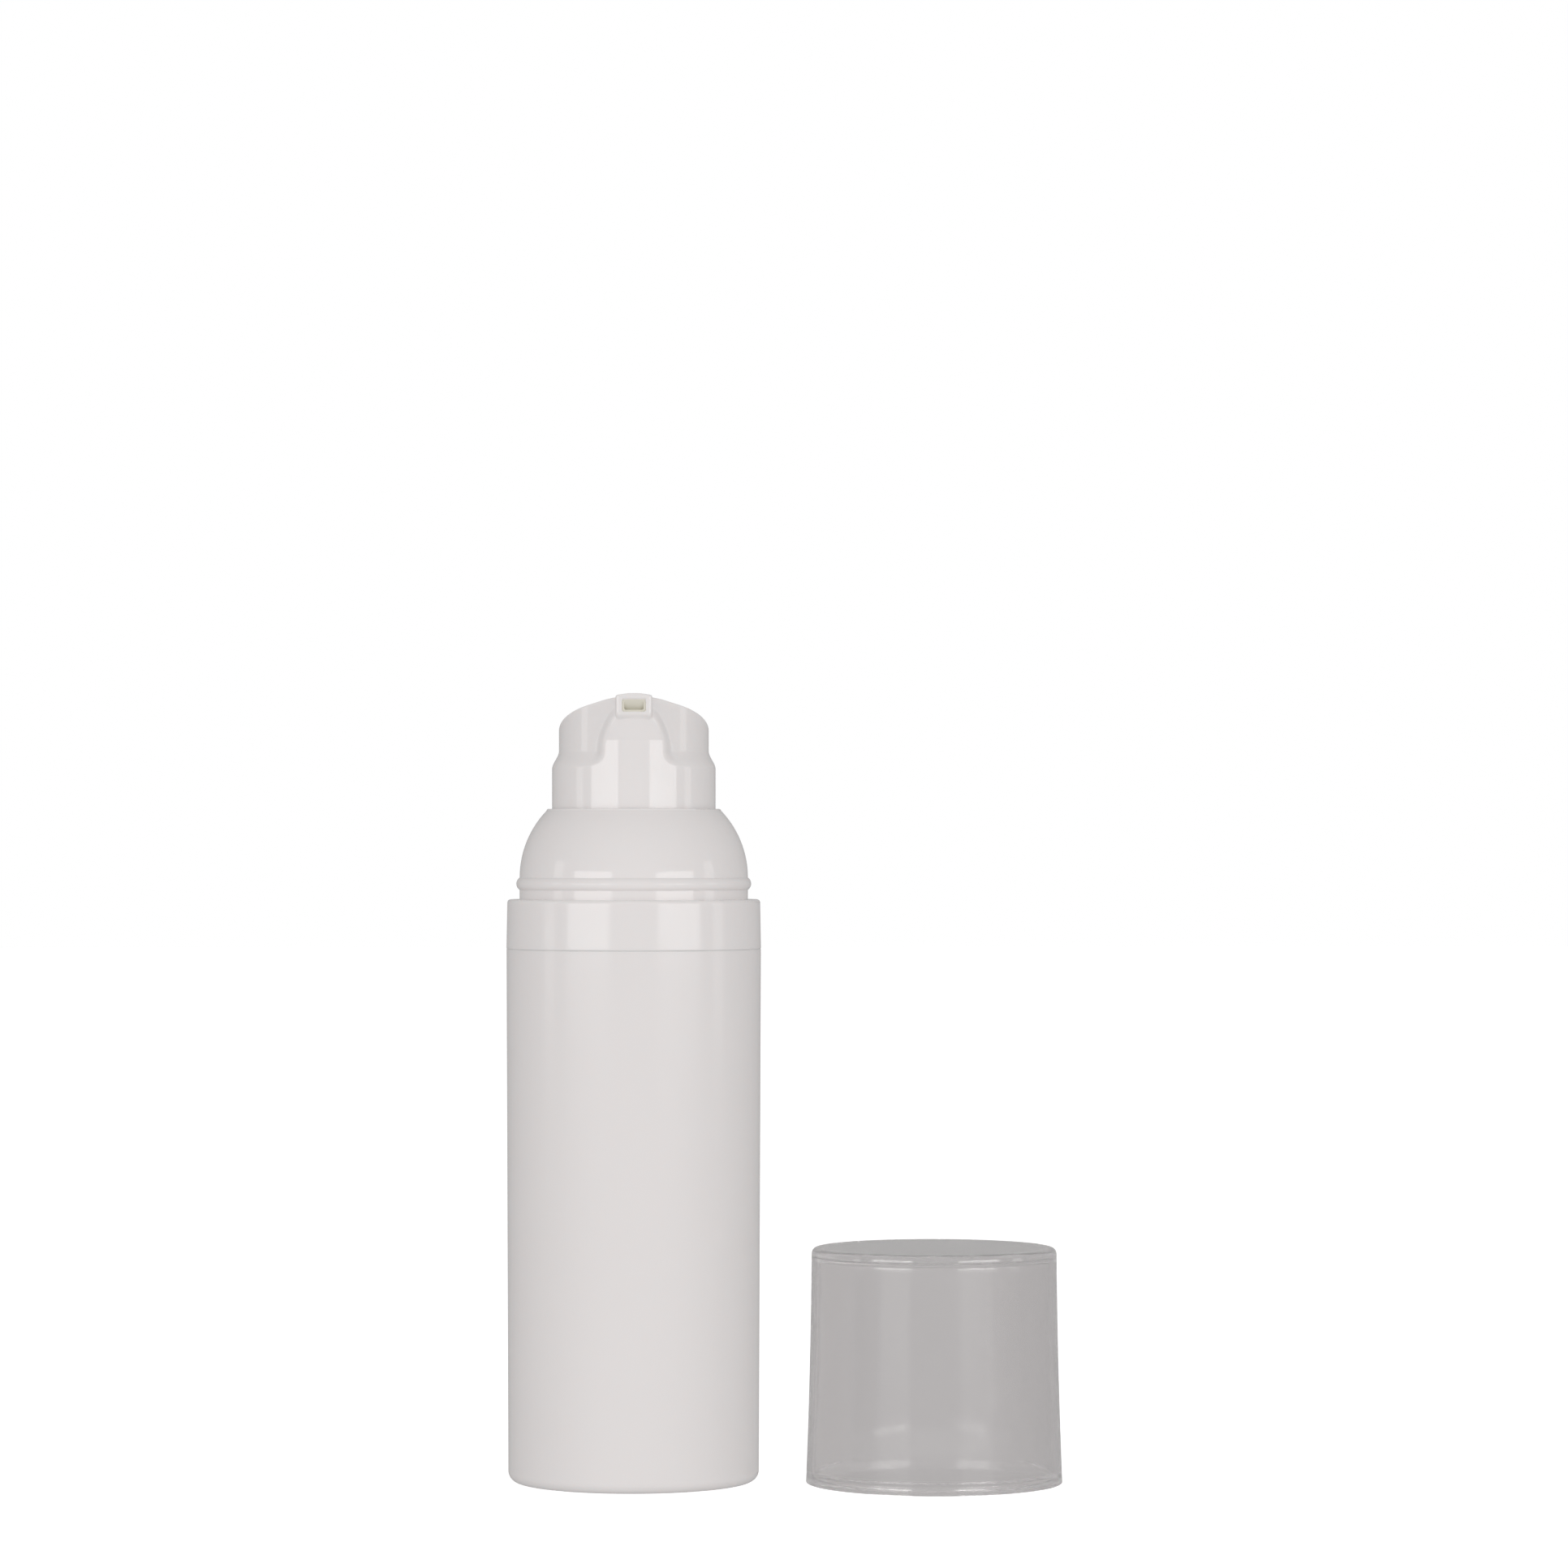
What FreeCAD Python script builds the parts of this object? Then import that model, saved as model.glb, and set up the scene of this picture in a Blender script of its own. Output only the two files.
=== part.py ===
import FreeCAD, Part
import math
import os
from collections import namedtuple

V = FreeCAD.Vector

# All sizes are millimetres. The bottle stands on z = 0 with its axis on Z and its spout towards -Y.

# Clearances
fit_gap = 0.05          # between pieces that are snapped or pressed together
slide_gap = 0.05        # radial, between pieces that slide on each other
head_gap = 0.3          # between the head skirt and the opening of the dome
rest_gap = 0.05         # between a moving piece and the face that it rests on

# Barrel
body_d = 35.0           # at the joint with the collar
body_h = 73.1           # floor to joint
body_draft = 0.3        # radius lost from the joint to the base
body_wall = 1.9
base_round = 1.5
floor_t = 1.6
foot_h = 1.0            # recess under the floor
foot_w = 3.0            # flat ring that the bottle stands on
vent_d = 1.5
joint_bevel = 0.03      # radius lost at the joint line
joint_bevel_h = 0.15    # height over which it is lost
joint_gap = 0.01        # between the shoulder of the barrel and the collar

# Snap joint of barrel and collar
skirt_wall = 1.0
snap_above = 1.9        # bead height above the joint
snap_h = 1.2
snap_depth = 0.3
gasket_t = 0.6

# Collar and dome
collar_h = 6.8          # joint to the ledge that the cap sits on
collar_draft = 0.12
collar_round = 0.45
web_t = 1.2
cap_neck_d = 31.4
bead_above = 2.15       # bead height above the ledge
bead_h = 1.7
bead_proud = 0.45
dome_h = 12.2           # ledge to the start of the lip
dome_wall = 1.2
lip_w = 0.45

# Pump engine
flange_t = 0.85
bore_d = 12.0
tube_wall = 1.1
tube_floor_t = 1.2
tube_below = 8.6        # floor underside below the flange
port_d = 2.2
ball_d = 3.5
ball_lift = 0.8
ball_gap = 0.35         # around the ball in its cage
cage_wall = 1.1
cage_slot_w = 1.2
nib_t = 0.6
nib_over = 0.4          # how far the nibs reach over the ball
stroke = 5.0
stem_d = 5.2
stem_bore_d = 3.0
stem_port_d = 1.0
stem_flange_d = 7.6
stem_flange_t = 0.75
poppet_d = 8.6
poppet_t = 1.0
spigot_h = 4.0
spigot_web_t = 0.9
piston_h = 3.25
piston_lip_h = 0.9
piston_waist = 0.4
piston_land_h = 1.2
piston_float = 0.7
guide_t = 1.2
guide_wall = 0.85
guide_skirt_h = 2.8
guide_snap_depth = 0.25
guide_rim_h = 0.7
guide_rim_w = 0.7
guide_vent_d = 0.8

# Return spring
wire_d = 0.7
spring_mean_d = 10.4
spring_turns = 5
end_pitch = 1.15

# Follower piston
follower_wall = 1.0
follower_rest = 0.3     # above the floor
follower_lip_h = 1.1
follower_waist = 0.35
pocket_gap = 0.5        # around the pump tube when the follower is fully up

# Actuator head
head_d = 22.5
head_wall = 1.2
skirt_round = 0.1       # foot of the skirt
skirt_drop = 5.9        # skirt length hidden below the lip of the dome
recess_depth = 0.95
nose_angle = 40.0       # degrees from the spout, where the sides leave their circle and run straight to it
step_low = 6.3          # skirt edge above the lip
step_h = 1.2
step_round = 2.0
roof_mid_h = 11.2       # roof height on the axis, above the lip
roof_slope = 21.55      # degrees, rising to the spout
roof_dish_r = 16.0
roof_level_y = 1.0      # where the slope starts to level out
roof_t = 1.3
edge_round = 0.3        # roof rim and spout edges
bib_half_w = 4.15
bib_corner = 1.2
bib_foot = 0.3          # corner of the bib above the skirt edge
bib_run = 2.6           # how far the foot of the bib runs out along the skirt edge
crease_above = 9.55     # crease above the lip
spout_lean = 8.4        # degrees, bib above the crease
spout_w = 5.05
spout_h = 3.35
spout_reach = 12.0      # spout face from the axis
socket_wall = 1.6
socket_depth = 6.8
socket_clear = 0.4      # socket over the guide with the head fully down
seat_w = 1.9            # spring seat round the socket
seat_t = 1.2

# Outlet
duct_w = 3.25
duct_h = 1.78
duct_roof_t = 0.74
duct_floor_t = 0.9
duct_corner = 0.25
liner_wall = 0.25
liner_set_back = 0.3
liner_len = 6.5

# Over-cap, standing beside the bottle
cap_h = 32.2
cap_rim_d = 35.15
cap_mid_d = 34.1
cap_top_d = 33.6
cap_wall = 1.1
cap_top_t = 1.2
cap_round = 1.0
cap_rib_above = 1.05    # snap rib above the rim
cap_rib_h = 1.4
cap_rib_proud = 0.45
cap_x = 41.2
cap_y = -2.5

# Radii and levels that follow from the sizes
body_r = body_d / 2
base_r = body_r - body_draft
bore_wall_r = body_r - body_wall
neck_r = body_r - skirt_wall - fit_gap
skirt_in_r = body_r - skirt_wall
z_floor = foot_h + floor_t
z_snap = body_h + snap_above
z_collar = body_h + joint_gap
z_ledge = body_h + collar_h
z_web = z_ledge - web_t
z_flange_top = z_web - fit_gap
z_flange = z_flange_top - flange_t
z_rim = z_flange - gasket_t
cap_neck_r = cap_neck_d / 2
dome_in_r = cap_neck_r - dome_wall
z_bead = z_ledge + bead_above
z_dome = z_bead + bead_h / 2
z_lip = z_ledge + dome_h
head_r = head_d / 2
opening_r = head_r + head_gap
lip_r = opening_r + lip_w

bore_r = bore_d / 2
tube_r = bore_r + tube_wall
z_tube = z_flange - tube_below
z_tube_floor = z_tube + tube_floor_t
port_r = port_d / 2
ball_r = ball_d / 2
z_ball = z_tube + tube_floor_t / 2 - port_r + ball_r * math.sqrt(2) + rest_gap
cage_in_r = ball_r + ball_gap
nib_r = ball_r - nib_over
z_nib = z_ball + ball_lift + math.sqrt(ball_r ** 2 - nib_r ** 2) + rest_gap
z_cage = z_nib + nib_t
z_poppet = z_cage + stroke + socket_clear
z_poppet_top = z_poppet + poppet_t
z_piston = z_poppet_top + rest_gap
z_piston_top = z_piston + piston_h
z_stem_flange = z_piston_top + piston_float + rest_gap
z_guide = z_stem_flange + stem_flange_t + rest_gap
z_guide_top = z_guide + guide_t
guide_r = tube_r + fit_gap + guide_wall
stem_r = stem_d / 2
z_socket = z_guide_top + stroke + socket_clear
z_socket_top = z_socket + socket_depth
z_stem_top = z_socket_top - fit_gap
z_seat = z_socket_top - seat_t
socket_r = stem_r + slide_gap + socket_wall

z_follower = z_floor + follower_rest
follower_r = bore_wall_r - slide_gap
pocket_r = tube_r + pocket_gap
pocket_depth = tube_below - gasket_t + pocket_gap
follower_h = pocket_depth + follower_wall

z_skirt = z_lip - skirt_drop
z_step = z_lip + step_low
recess_r = head_r - recess_depth
head_in_r = head_r - head_wall
z_crease = z_lip + crease_above
slope = math.tan(math.radians(roof_slope))
z_roof_mid = z_lip + roof_mid_h
z_spout_top = z_roof_mid + slope * spout_reach
z_spout = z_spout_top - spout_h
z_head_top = z_spout_top + spout_h

tiny = 1e-3
Pt = namedtuple("Pt", "a b round via", defaults=(0.0, None))


def on_xz(a, b):
    """A point of an outline drawn in the XZ plane."""
    return V(a, 0, b)


def on_yz(a, b):
    """A point of an outline drawn in the YZ plane."""
    return V(0, a, b)


def wire(points, place):
    """Closed wire through the points, with their corners rounded and arcs drawn through 'via'."""
    corners = []
    for index, point in enumerate(points):
        here = place(point.a, point.b)
        if not point.round:
            corners.append((here, None, here))
            continue
        before = points[index - 1]
        after = points[(index + 1) % len(points)]
        back = (place(before.a, before.b) - here).normalize()
        ahead = (place(after.a, after.b) - here).normalize()
        half = back.getAngle(ahead) / 2
        inward = (back + ahead).normalize()
        reach = point.round / math.tan(half)
        middle = here + inward * (point.round / math.sin(half) - point.round)
        corners.append((here + back * reach, middle, here + ahead * reach))
    edges = []
    for index, (entry, middle, leave) in enumerate(corners):
        if middle is not None:
            edges.append(Part.Arc(entry, middle, leave).toShape())
        after = (index + 1) % len(points)
        end = corners[after][0]
        if points[after].via is not None:
            edges.append(Part.Arc(leave, place(*points[after].via), end).toShape())
        elif leave.distanceToPoint(end) > 1e-6:
            edges.append(Part.LineSegment(leave, end).toShape())
    return Part.Wire(edges)


def lathe(points):
    """Solid turned about Z from an outline of (radius, height) points."""
    return Part.Face(wire(points, on_xz)).revolve(V(0, 0, 0), V(0, 0, 1), 360)


def slab_x(points, half):
    """Solid from an outline of (y, z) points, reaching to both sides of x = 0."""
    face = Part.Face(wire(points, on_yz))
    face.translate(V(-half, 0, 0))
    return face.extrude(V(2 * half, 0, 0))


def slab_y(points, y0, y1):
    """Solid from an outline of (x, z) points, from y0 to y1."""
    face = Part.Face(wire(points, on_xz))
    face.translate(V(0, y0, 0))
    return face.extrude(V(0, y1 - y0, 0))


def tube(inner, outer, z0, z1):
    """Plain ring between two radii and two heights."""
    return lathe([Pt(inner, z0), Pt(outer, z0), Pt(outer, z1), Pt(inner, z1)])


def arc_middle(centre_a, centre_b, radius, start, end):
    """Middle of the arc between two angles in degrees about a centre."""
    angle = math.radians((start + end) / 2)
    return (centre_a + radius * math.cos(angle), centre_b + radius * math.sin(angle))


def around(shape, count):
    """The shape repeated evenly about Z, joined."""
    copies = []
    for index in range(count):
        turned = shape.copy()
        turned.rotate(V(0, 0, 0), V(0, 0, 1), index * 360 / count)
        copies.append(turned)
    return copies[0].fuse(copies[1:])


def make_barrel():
    """Straight reservoir with a recessed floor, a vent and the neck for the collar."""
    foot_r = base_r - base_round - foot_w
    return lathe([
        Pt(vent_d / 2, foot_h),
        Pt(foot_r, foot_h),
        Pt(foot_r, 0),
        Pt(base_r, 0, base_round),
        Pt(body_r, body_h - joint_bevel_h),
        Pt(body_r - joint_bevel, body_h),
        Pt(neck_r, body_h),
        Pt(neck_r, z_snap - snap_h / 2),
        Pt(neck_r, z_snap + snap_h / 2, 0, (neck_r + snap_depth, z_snap)),
        Pt(neck_r, z_rim),
        Pt(bore_wall_r, z_rim),
        Pt(bore_wall_r, z_floor),
        Pt(vent_d / 2, z_floor),
    ])


def make_collar():
    """Skirt with the cap ledge, the bead that holds the cap and the dome round the head."""
    drop = cap_neck_r - lip_r
    rise = z_lip - z_dome
    dome_r = (rise ** 2 + drop ** 2) / (2 * drop)
    dome_a = cap_neck_r - dome_r
    lip_angle = math.degrees(math.asin(rise / dome_r))
    in_r = dome_r - dome_wall
    under_angle = math.degrees(math.acos((opening_r - dome_a) / in_r))
    z_under = z_dome + in_r * math.sin(math.radians(under_angle))
    groove_h = snap_h + 2 * fit_gap
    return lathe([
        Pt(skirt_in_r, z_collar),
        Pt(body_r - joint_bevel, z_collar),
        Pt(body_r, z_collar + joint_bevel_h),
        Pt(body_r - collar_draft, z_ledge, collar_round),
        Pt(cap_neck_r, z_ledge),
        Pt(cap_neck_r, z_bead - bead_h / 2),
        Pt(cap_neck_r, z_dome, 0, (cap_neck_r + bead_proud, z_bead)),
        Pt(lip_r, z_lip, 0, arc_middle(dome_a, z_dome, dome_r, 0, lip_angle)),
        Pt(opening_r, z_lip, 0, (opening_r + lip_w / 2, z_lip + lip_w / 2)),
        Pt(opening_r, z_under),
        Pt(dome_in_r, z_dome, 0, arc_middle(dome_a, z_dome, in_r, under_angle, 0)),
        Pt(dome_in_r, z_web),
        Pt(skirt_in_r, z_web),
        Pt(skirt_in_r, z_snap + groove_h / 2),
        Pt(skirt_in_r, z_snap - groove_h / 2, 0, (skirt_in_r + snap_depth, z_snap)),
    ])


def make_cylinder():
    """Pump chamber with its clamping flange, ball seat and ball cage."""
    body = lathe([
        Pt(port_r, z_tube),
        Pt(tube_r, z_tube),
        Pt(tube_r, z_flange),
        Pt(neck_r, z_flange),
        Pt(neck_r, z_flange_top),
        Pt(tube_r, z_flange_top),
        Pt(tube_r, z_guide - guide_skirt_h / 2 - guide_snap_depth - fit_gap),
        Pt(tube_r - guide_snap_depth, z_guide - guide_skirt_h / 2),
        Pt(tube_r, z_guide - guide_skirt_h / 2 + guide_snap_depth + fit_gap),
        Pt(tube_r, z_guide),
        Pt(bore_r, z_guide),
        Pt(bore_r, z_tube_floor),
        Pt(port_r + tube_floor_t / 2, z_tube_floor),
        Pt(port_r, z_tube + tube_floor_t / 2),
    ])
    cage = lathe([
        Pt(cage_in_r, z_tube_floor - fit_gap),
        Pt(cage_in_r + cage_wall, z_tube_floor - fit_gap),
        Pt(cage_in_r + cage_wall, z_cage),
        Pt(nib_r, z_cage),
        Pt(nib_r, z_nib),
        Pt(cage_in_r, z_nib),
    ])
    slot_r = cage_in_r + cage_wall + fit_gap
    slot = Part.makeBox(slot_r, cage_slot_w, z_cage - z_tube_floor, V(0, -cage_slot_w / 2, z_tube_floor))
    return body.fuse(cage.cut(around(slot, 3))).removeSplitter()


def make_ball():
    """Inlet ball on its conical seat."""
    return Part.makeSphere(ball_r, V(0, 0, z_ball))


def make_poppet():
    """Disc that the piston seals on, with a cross spigot pressed into the stem."""
    disc = Part.makeCylinder(poppet_d / 2, poppet_t, V(0, 0, z_poppet))
    spigot_r = stem_bore_d / 2 - fit_gap
    post = Part.makeCylinder(spigot_r, spigot_h, V(0, 0, z_poppet_top))
    arm = Part.makeBox(2 * spigot_r, spigot_web_t, spigot_h, V(-spigot_r, -spigot_web_t / 2, z_poppet_top))
    return disc.fuse(post.common(around(arm, 4))).removeSplitter()


def make_piston():
    """Sliding piston with two lips, a sealing land on the stem and a relief round the stem ports."""
    lip_r_out = bore_r - slide_gap
    land_r = stem_r + slide_gap
    relief_r = land_r + piston_waist
    z_land = z_piston_top - piston_land_h
    return lathe([
        Pt(relief_r, z_piston),
        Pt(lip_r_out, z_piston),
        Pt(lip_r_out, z_piston + piston_lip_h),
        Pt(lip_r_out - piston_waist, z_piston + piston_lip_h),
        Pt(lip_r_out - piston_waist, z_piston_top - piston_lip_h),
        Pt(lip_r_out, z_piston_top - piston_lip_h),
        Pt(lip_r_out, z_piston_top),
        Pt(land_r, z_piston_top),
        Pt(land_r, z_land),
        Pt(relief_r, z_land),
    ])


def make_stem():
    """Hollow stem with the flange that pushes the piston and four ports above the poppet."""
    flange_r = stem_flange_d / 2
    body = lathe([
        Pt(stem_bore_d / 2, z_poppet_top),
        Pt(stem_r, z_poppet_top),
        Pt(stem_r, z_stem_flange),
        Pt(flange_r, z_stem_flange),
        Pt(flange_r, z_stem_flange + stem_flange_t),
        Pt(stem_r, z_stem_flange + stem_flange_t),
        Pt(stem_r, z_stem_top),
        Pt(stem_bore_d / 2, z_stem_top),
    ])
    port = Part.makeCylinder(stem_port_d / 2, stem_d, V(0, 0, z_piston + stem_port_d), V(1, 0, 0))
    port.rotate(V(0, 0, 0), V(0, 0, 1), 45)
    return body.cut(around(port, 4))


def make_guide():
    """Lid that snaps over the chamber, guides the stem and carries the spring."""
    hole_r = stem_r + slide_gap
    skirt_r = tube_r + fit_gap
    z_bottom = z_guide - guide_skirt_h
    z_bead_mid = z_guide - guide_skirt_h / 2
    rim_r = (spring_mean_d + wire_d) / 2 + fit_gap
    body = lathe([
        Pt(hole_r, z_guide),
        Pt(skirt_r, z_guide),
        Pt(skirt_r, z_bead_mid + guide_snap_depth),
        Pt(skirt_r - guide_snap_depth, z_bead_mid),
        Pt(skirt_r, z_bead_mid - guide_snap_depth),
        Pt(skirt_r, z_bottom),
        Pt(guide_r, z_bottom),
        Pt(guide_r, z_guide_top),
        Pt(rim_r + guide_rim_w, z_guide_top),
        Pt(rim_r + guide_rim_w, z_guide_top + guide_rim_h),
        Pt(rim_r, z_guide_top + guide_rim_h),
        Pt(rim_r, z_guide_top),
        Pt(hole_r, z_guide_top),
    ])
    vent = Part.makeCylinder(guide_vent_d / 2, guide_t, V((stem_r + bore_r) / 2, 0, z_guide))
    return body.cut(around(vent, 2))


def coil_point(turn):
    """Point and direction of the spring wire after a number of turns."""
    height = z_seat - z_guide_top - wire_d - 2 * rest_gap
    mid_pitch = 2 * height / spring_turns - end_pitch
    share = turn / spring_turns
    wave = share / 2 - math.sin(2 * math.pi * share) / (4 * math.pi)
    rise = spring_turns * (end_pitch * share + (mid_pitch - end_pitch) * wave)
    pitch = end_pitch + (mid_pitch - end_pitch) * math.sin(math.pi * share) ** 2
    angle = 2 * math.pi * turn
    mean_r = spring_mean_d / 2
    z_wire = z_guide_top + rest_gap + wire_d / 2 + rise
    point = V(mean_r * math.cos(angle), mean_r * math.sin(angle), z_wire)
    along = V(-mean_r * math.sin(angle), mean_r * math.cos(angle), pitch / (2 * math.pi))
    return point, along.normalize()


def arc_between(start, along, end):
    """Arc that leaves the start in a given direction and ends at a point."""
    chord = end - start
    corner_angle = along.getAngle(chord)
    middle = (start + end) * 0.5
    side = along * (chord.Length / 2 / math.cos(corner_angle)) + start - middle
    bulge = chord.Length / 2 * math.tan(corner_angle / 2)
    return Part.Arc(start, middle + side.normalize() * bulge, end).toShape()


def make_spring():
    """Compression spring swept along pairs of arcs, a quarter turn at a time."""
    edges = []
    for quarter in range(4 * spring_turns):
        p0, t0 = coil_point(quarter / 4)
        p1, t1 = coil_point((quarter + 1) / 4)
        chord = p1 - p0
        both = t0 + t1
        lack = 2 * (1 - t0.dot(t1))
        run = chord.dot(both)
        reach = (math.sqrt(run ** 2 + lack * chord.dot(chord)) - run) / lack
        joint = (p0 + t0 * reach + p1 - t1 * reach) * 0.5
        edges.append(arc_between(p0, t0, joint))
        edges.append(arc_between(p1, t1 * -1, joint))
    path = Part.Wire(Part.sortEdges(edges)[0])
    start, along = coil_point(0)
    section = Part.Wire(Part.makeCircle(wire_d / 2, start, along))
    return path.makePipeShell([section], True, False)


def coil_gap():
    """Least gap between neighbouring turns of the spring, measured on points of its wire."""
    steps = 24
    points = [coil_point(index / steps)[0] for index in range(spring_turns * steps + 1)]
    gaps = []
    for index, point in enumerate(points):
        for other in points[index + steps // 2:]:
            gaps.append(point.distanceToPoint(other) - wire_d)
    return min(gaps)


def make_follower():
    """Follower piston: two wiper lips, a raised crown and a pocket that takes the pump tube."""
    z0 = z_follower
    z1 = z_follower + follower_h
    waist_r = follower_r - follower_waist
    sleeve_r = waist_r - follower_wall
    wall_r = pocket_r + follower_wall
    z_web_low = z1 - pocket_depth - follower_wall
    return lathe([
        Pt(0, z_web_low),
        Pt(wall_r, z_web_low),
        Pt(wall_r, z1 - follower_wall),
        Pt(sleeve_r, z1 - follower_wall),
        Pt(sleeve_r, z0),
        Pt(follower_r, z0),
        Pt(follower_r, z0 + follower_lip_h),
        Pt(waist_r, z0 + follower_lip_h + follower_waist),
        Pt(waist_r, z1 - follower_lip_h - follower_waist),
        Pt(follower_r, z1 - follower_lip_h),
        Pt(follower_r, z1),
        Pt(pocket_r, z1),
        Pt(pocket_r, z1 - pocket_depth),
        Pt(0, z1 - pocket_depth),
    ])


def under_roof(drop, half):
    """Everything below the roof line lowered by a drop, over a width in X."""
    far = 2 * head_r
    turn = math.radians(roof_slope)
    z_turn = z_roof_mid - slope * roof_level_y - drop
    y_flat = roof_level_y + roof_dish_r * math.sin(turn)
    z_flat = z_turn - roof_dish_r * (1 - math.cos(turn))
    via_y = roof_level_y + roof_dish_r * (math.sin(turn) - math.sin(turn / 2))
    via_z = z_flat + roof_dish_r * (1 - math.cos(turn / 2))
    return slab_x([
        Pt(-far, z_skirt),
        Pt(far, z_skirt),
        Pt(far, z_flat),
        Pt(y_flat, z_flat),
        Pt(roof_level_y, z_turn, 0, (via_y, via_z)),
        Pt(-far, z_roof_mid + slope * far - drop),
    ], half)


def roof_z(y, drop):
    """Height of the sloping part of the roof line, lowered by a drop."""
    return z_roof_mid - slope * y - drop


def duct_slab(top, bottom, half, y0, y1):
    """Block between two drops below the sloping roof line, over a width in X and a stretch of Y."""
    return slab_x([
        Pt(y0, roof_z(y0, bottom)),
        Pt(y1, roof_z(y1, bottom)),
        Pt(y1, roof_z(y1, top)),
        Pt(y0, roof_z(y0, top)),
    ], half)


def round_along(block, radius):
    """The block with its edges along the duct rounded."""
    along = V(0, -math.cos(math.radians(roof_slope)), math.sin(math.radians(roof_slope)))
    edges = []
    for edge in block.Edges:
        run = edge.Vertexes[1].Point - edge.Vertexes[0].Point
        if run.cross(along).Length < tiny:
            edges.append(edge)
    return block.makeFillet(radius, edges)


def make_head_outside():
    """Filled head: guided skirt, recessed sides and back, front bib, spout and sloping roof."""
    z_step_top = z_step + step_h
    core = lathe([
        Pt(0, z_skirt),
        Pt(head_r, z_skirt, skirt_round),
        Pt(head_r, z_step, step_round),
        Pt(recess_r, z_step_top, step_round),
        Pt(recess_r, z_head_top),
        Pt(0, z_head_top),
    ])
    lean_r = head_r + (z_spout - z_crease) * math.tan(math.radians(spout_lean))
    front = lathe([
        Pt(0, z_skirt + skirt_round),
        Pt(head_r, z_skirt + skirt_round),
        Pt(head_r, z_crease),
        Pt(lean_r, z_spout),
        Pt(lean_r, z_head_top),
        Pt(0, z_head_top),
    ])
    z_bib = z_step + bib_foot
    half = spout_w / 2
    flare = bib_half_w - half
    flare_h = z_spout - z_bib - bib_corner
    flare_r = (flare_h ** 2 + flare ** 2) / (2 * flare)
    flare_angle = math.degrees(math.asin(flare_h / flare_r))
    flare_via = arc_middle(bib_half_w - flare_r, z_bib + bib_corner, flare_r, 0, flare_angle)
    corner_x = bib_half_w + bib_corner
    foot_via = arc_middle(corner_x, z_bib + bib_corner, bib_corner, 180, 270)
    foot_x = corner_x + bib_run
    z_foot = z_step - step_round / 2
    outline = [
        Pt(-foot_x, z_foot),
        Pt(foot_x, z_foot),
        Pt(corner_x, z_bib),
        Pt(bib_half_w, z_bib + bib_corner, 0, foot_via),
        Pt(half, z_spout, 0, flare_via),
        Pt(half, z_head_top),
        Pt(-half, z_head_top),
        Pt(-half, z_spout),
        Pt(-bib_half_w, z_bib + bib_corner, 0, (-flare_via[0], flare_via[1])),
        Pt(-corner_x, z_bib, 0, (-foot_via[0], foot_via[1])),
    ]
    bib = front.common(slab_y(outline, -spout_reach, 0))
    nose = front.common(make_nose(half))
    spout = Part.makeBox(spout_w, spout_reach, z_head_top - z_spout, V(-half, -spout_reach, z_spout))
    body = core.fuse([bib, nose, spout]).common(under_roof(0, head_d)).removeSplitter()
    return body.makeFillet(edge_round, [edge for edge in body.Edges if is_soft_edge(edge)])


def make_nose(half):
    """Block with straight sides that leave the recess as tangents and run forward to the spout."""
    turn = math.radians(nose_angle)
    side_x = recess_r * math.sin(turn)
    side_y = -recess_r * math.cos(turn)
    tip_y = side_y - (side_x - half) * math.tan(turn)
    corners = [(0, 0), (-side_x, side_y), (-half, tip_y), (half, tip_y), (side_x, side_y), (0, 0)]
    plan = Part.makePolygon([V(x, y, z_step) for x, y in corners])
    return Part.Face(plan).extrude(V(0, 0, z_head_top - z_step))


def is_soft_edge(edge):
    """Whether an edge of the plain head belongs to the roof rim or the spout face."""
    middle = edge.valueAt((edge.FirstParameter + edge.LastParameter) / 2)
    on_face = abs(middle.y + spout_reach) < tiny
    on_slope = abs(middle.z - roof_z(middle.y, 0)) < tiny
    on_dish = middle.y > roof_level_y - tiny and middle.z > z_step + step_h + step_round
    at_rim = math.hypot(middle.x, middle.y) > recess_r - tiny
    return on_face or (at_rim and (on_slope or on_dish))


def make_head():
    """Hollow head with the stem socket, the spring seat and the duct to the spout."""
    waist_r = recess_r - head_wall
    cavity = lathe([
        Pt(0, z_skirt),
        Pt(head_in_r, z_skirt),
        Pt(head_in_r, z_step - head_wall / 2),
        Pt(waist_r, z_step + step_h),
        Pt(waist_r, z_head_top),
        Pt(0, z_head_top),
    ]).common(under_roof(roof_t, head_d))
    post = Part.makeCylinder(socket_r, z_head_top - z_socket, V(0, 0, z_socket))
    seat = Part.makeCylinder(socket_r + seat_w, seat_t, V(0, 0, z_seat))
    block_drop = duct_roof_t + duct_h + duct_floor_t
    block = duct_slab(0, block_drop, spout_w / 2, -spout_reach, socket_r)
    hollow = cavity.cut([post, seat, block])
    hole = Part.makeCylinder(stem_r + slide_gap, socket_depth, V(0, 0, z_socket))
    z_duct = roof_z(0, duct_roof_t + duct_h / 2)
    riser = Part.makeCylinder(stem_bore_d / 2, z_duct - z_socket_top, V(0, 0, z_socket_top))
    duct_end = -spout_reach - duct_h
    duct = duct_slab(duct_roof_t, duct_roof_t + duct_h, duct_w / 2, duct_end, stem_bore_d / 2)
    return make_head_outside().cut([hollow, hole, riser, round_along(duct, duct_corner)])


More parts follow.
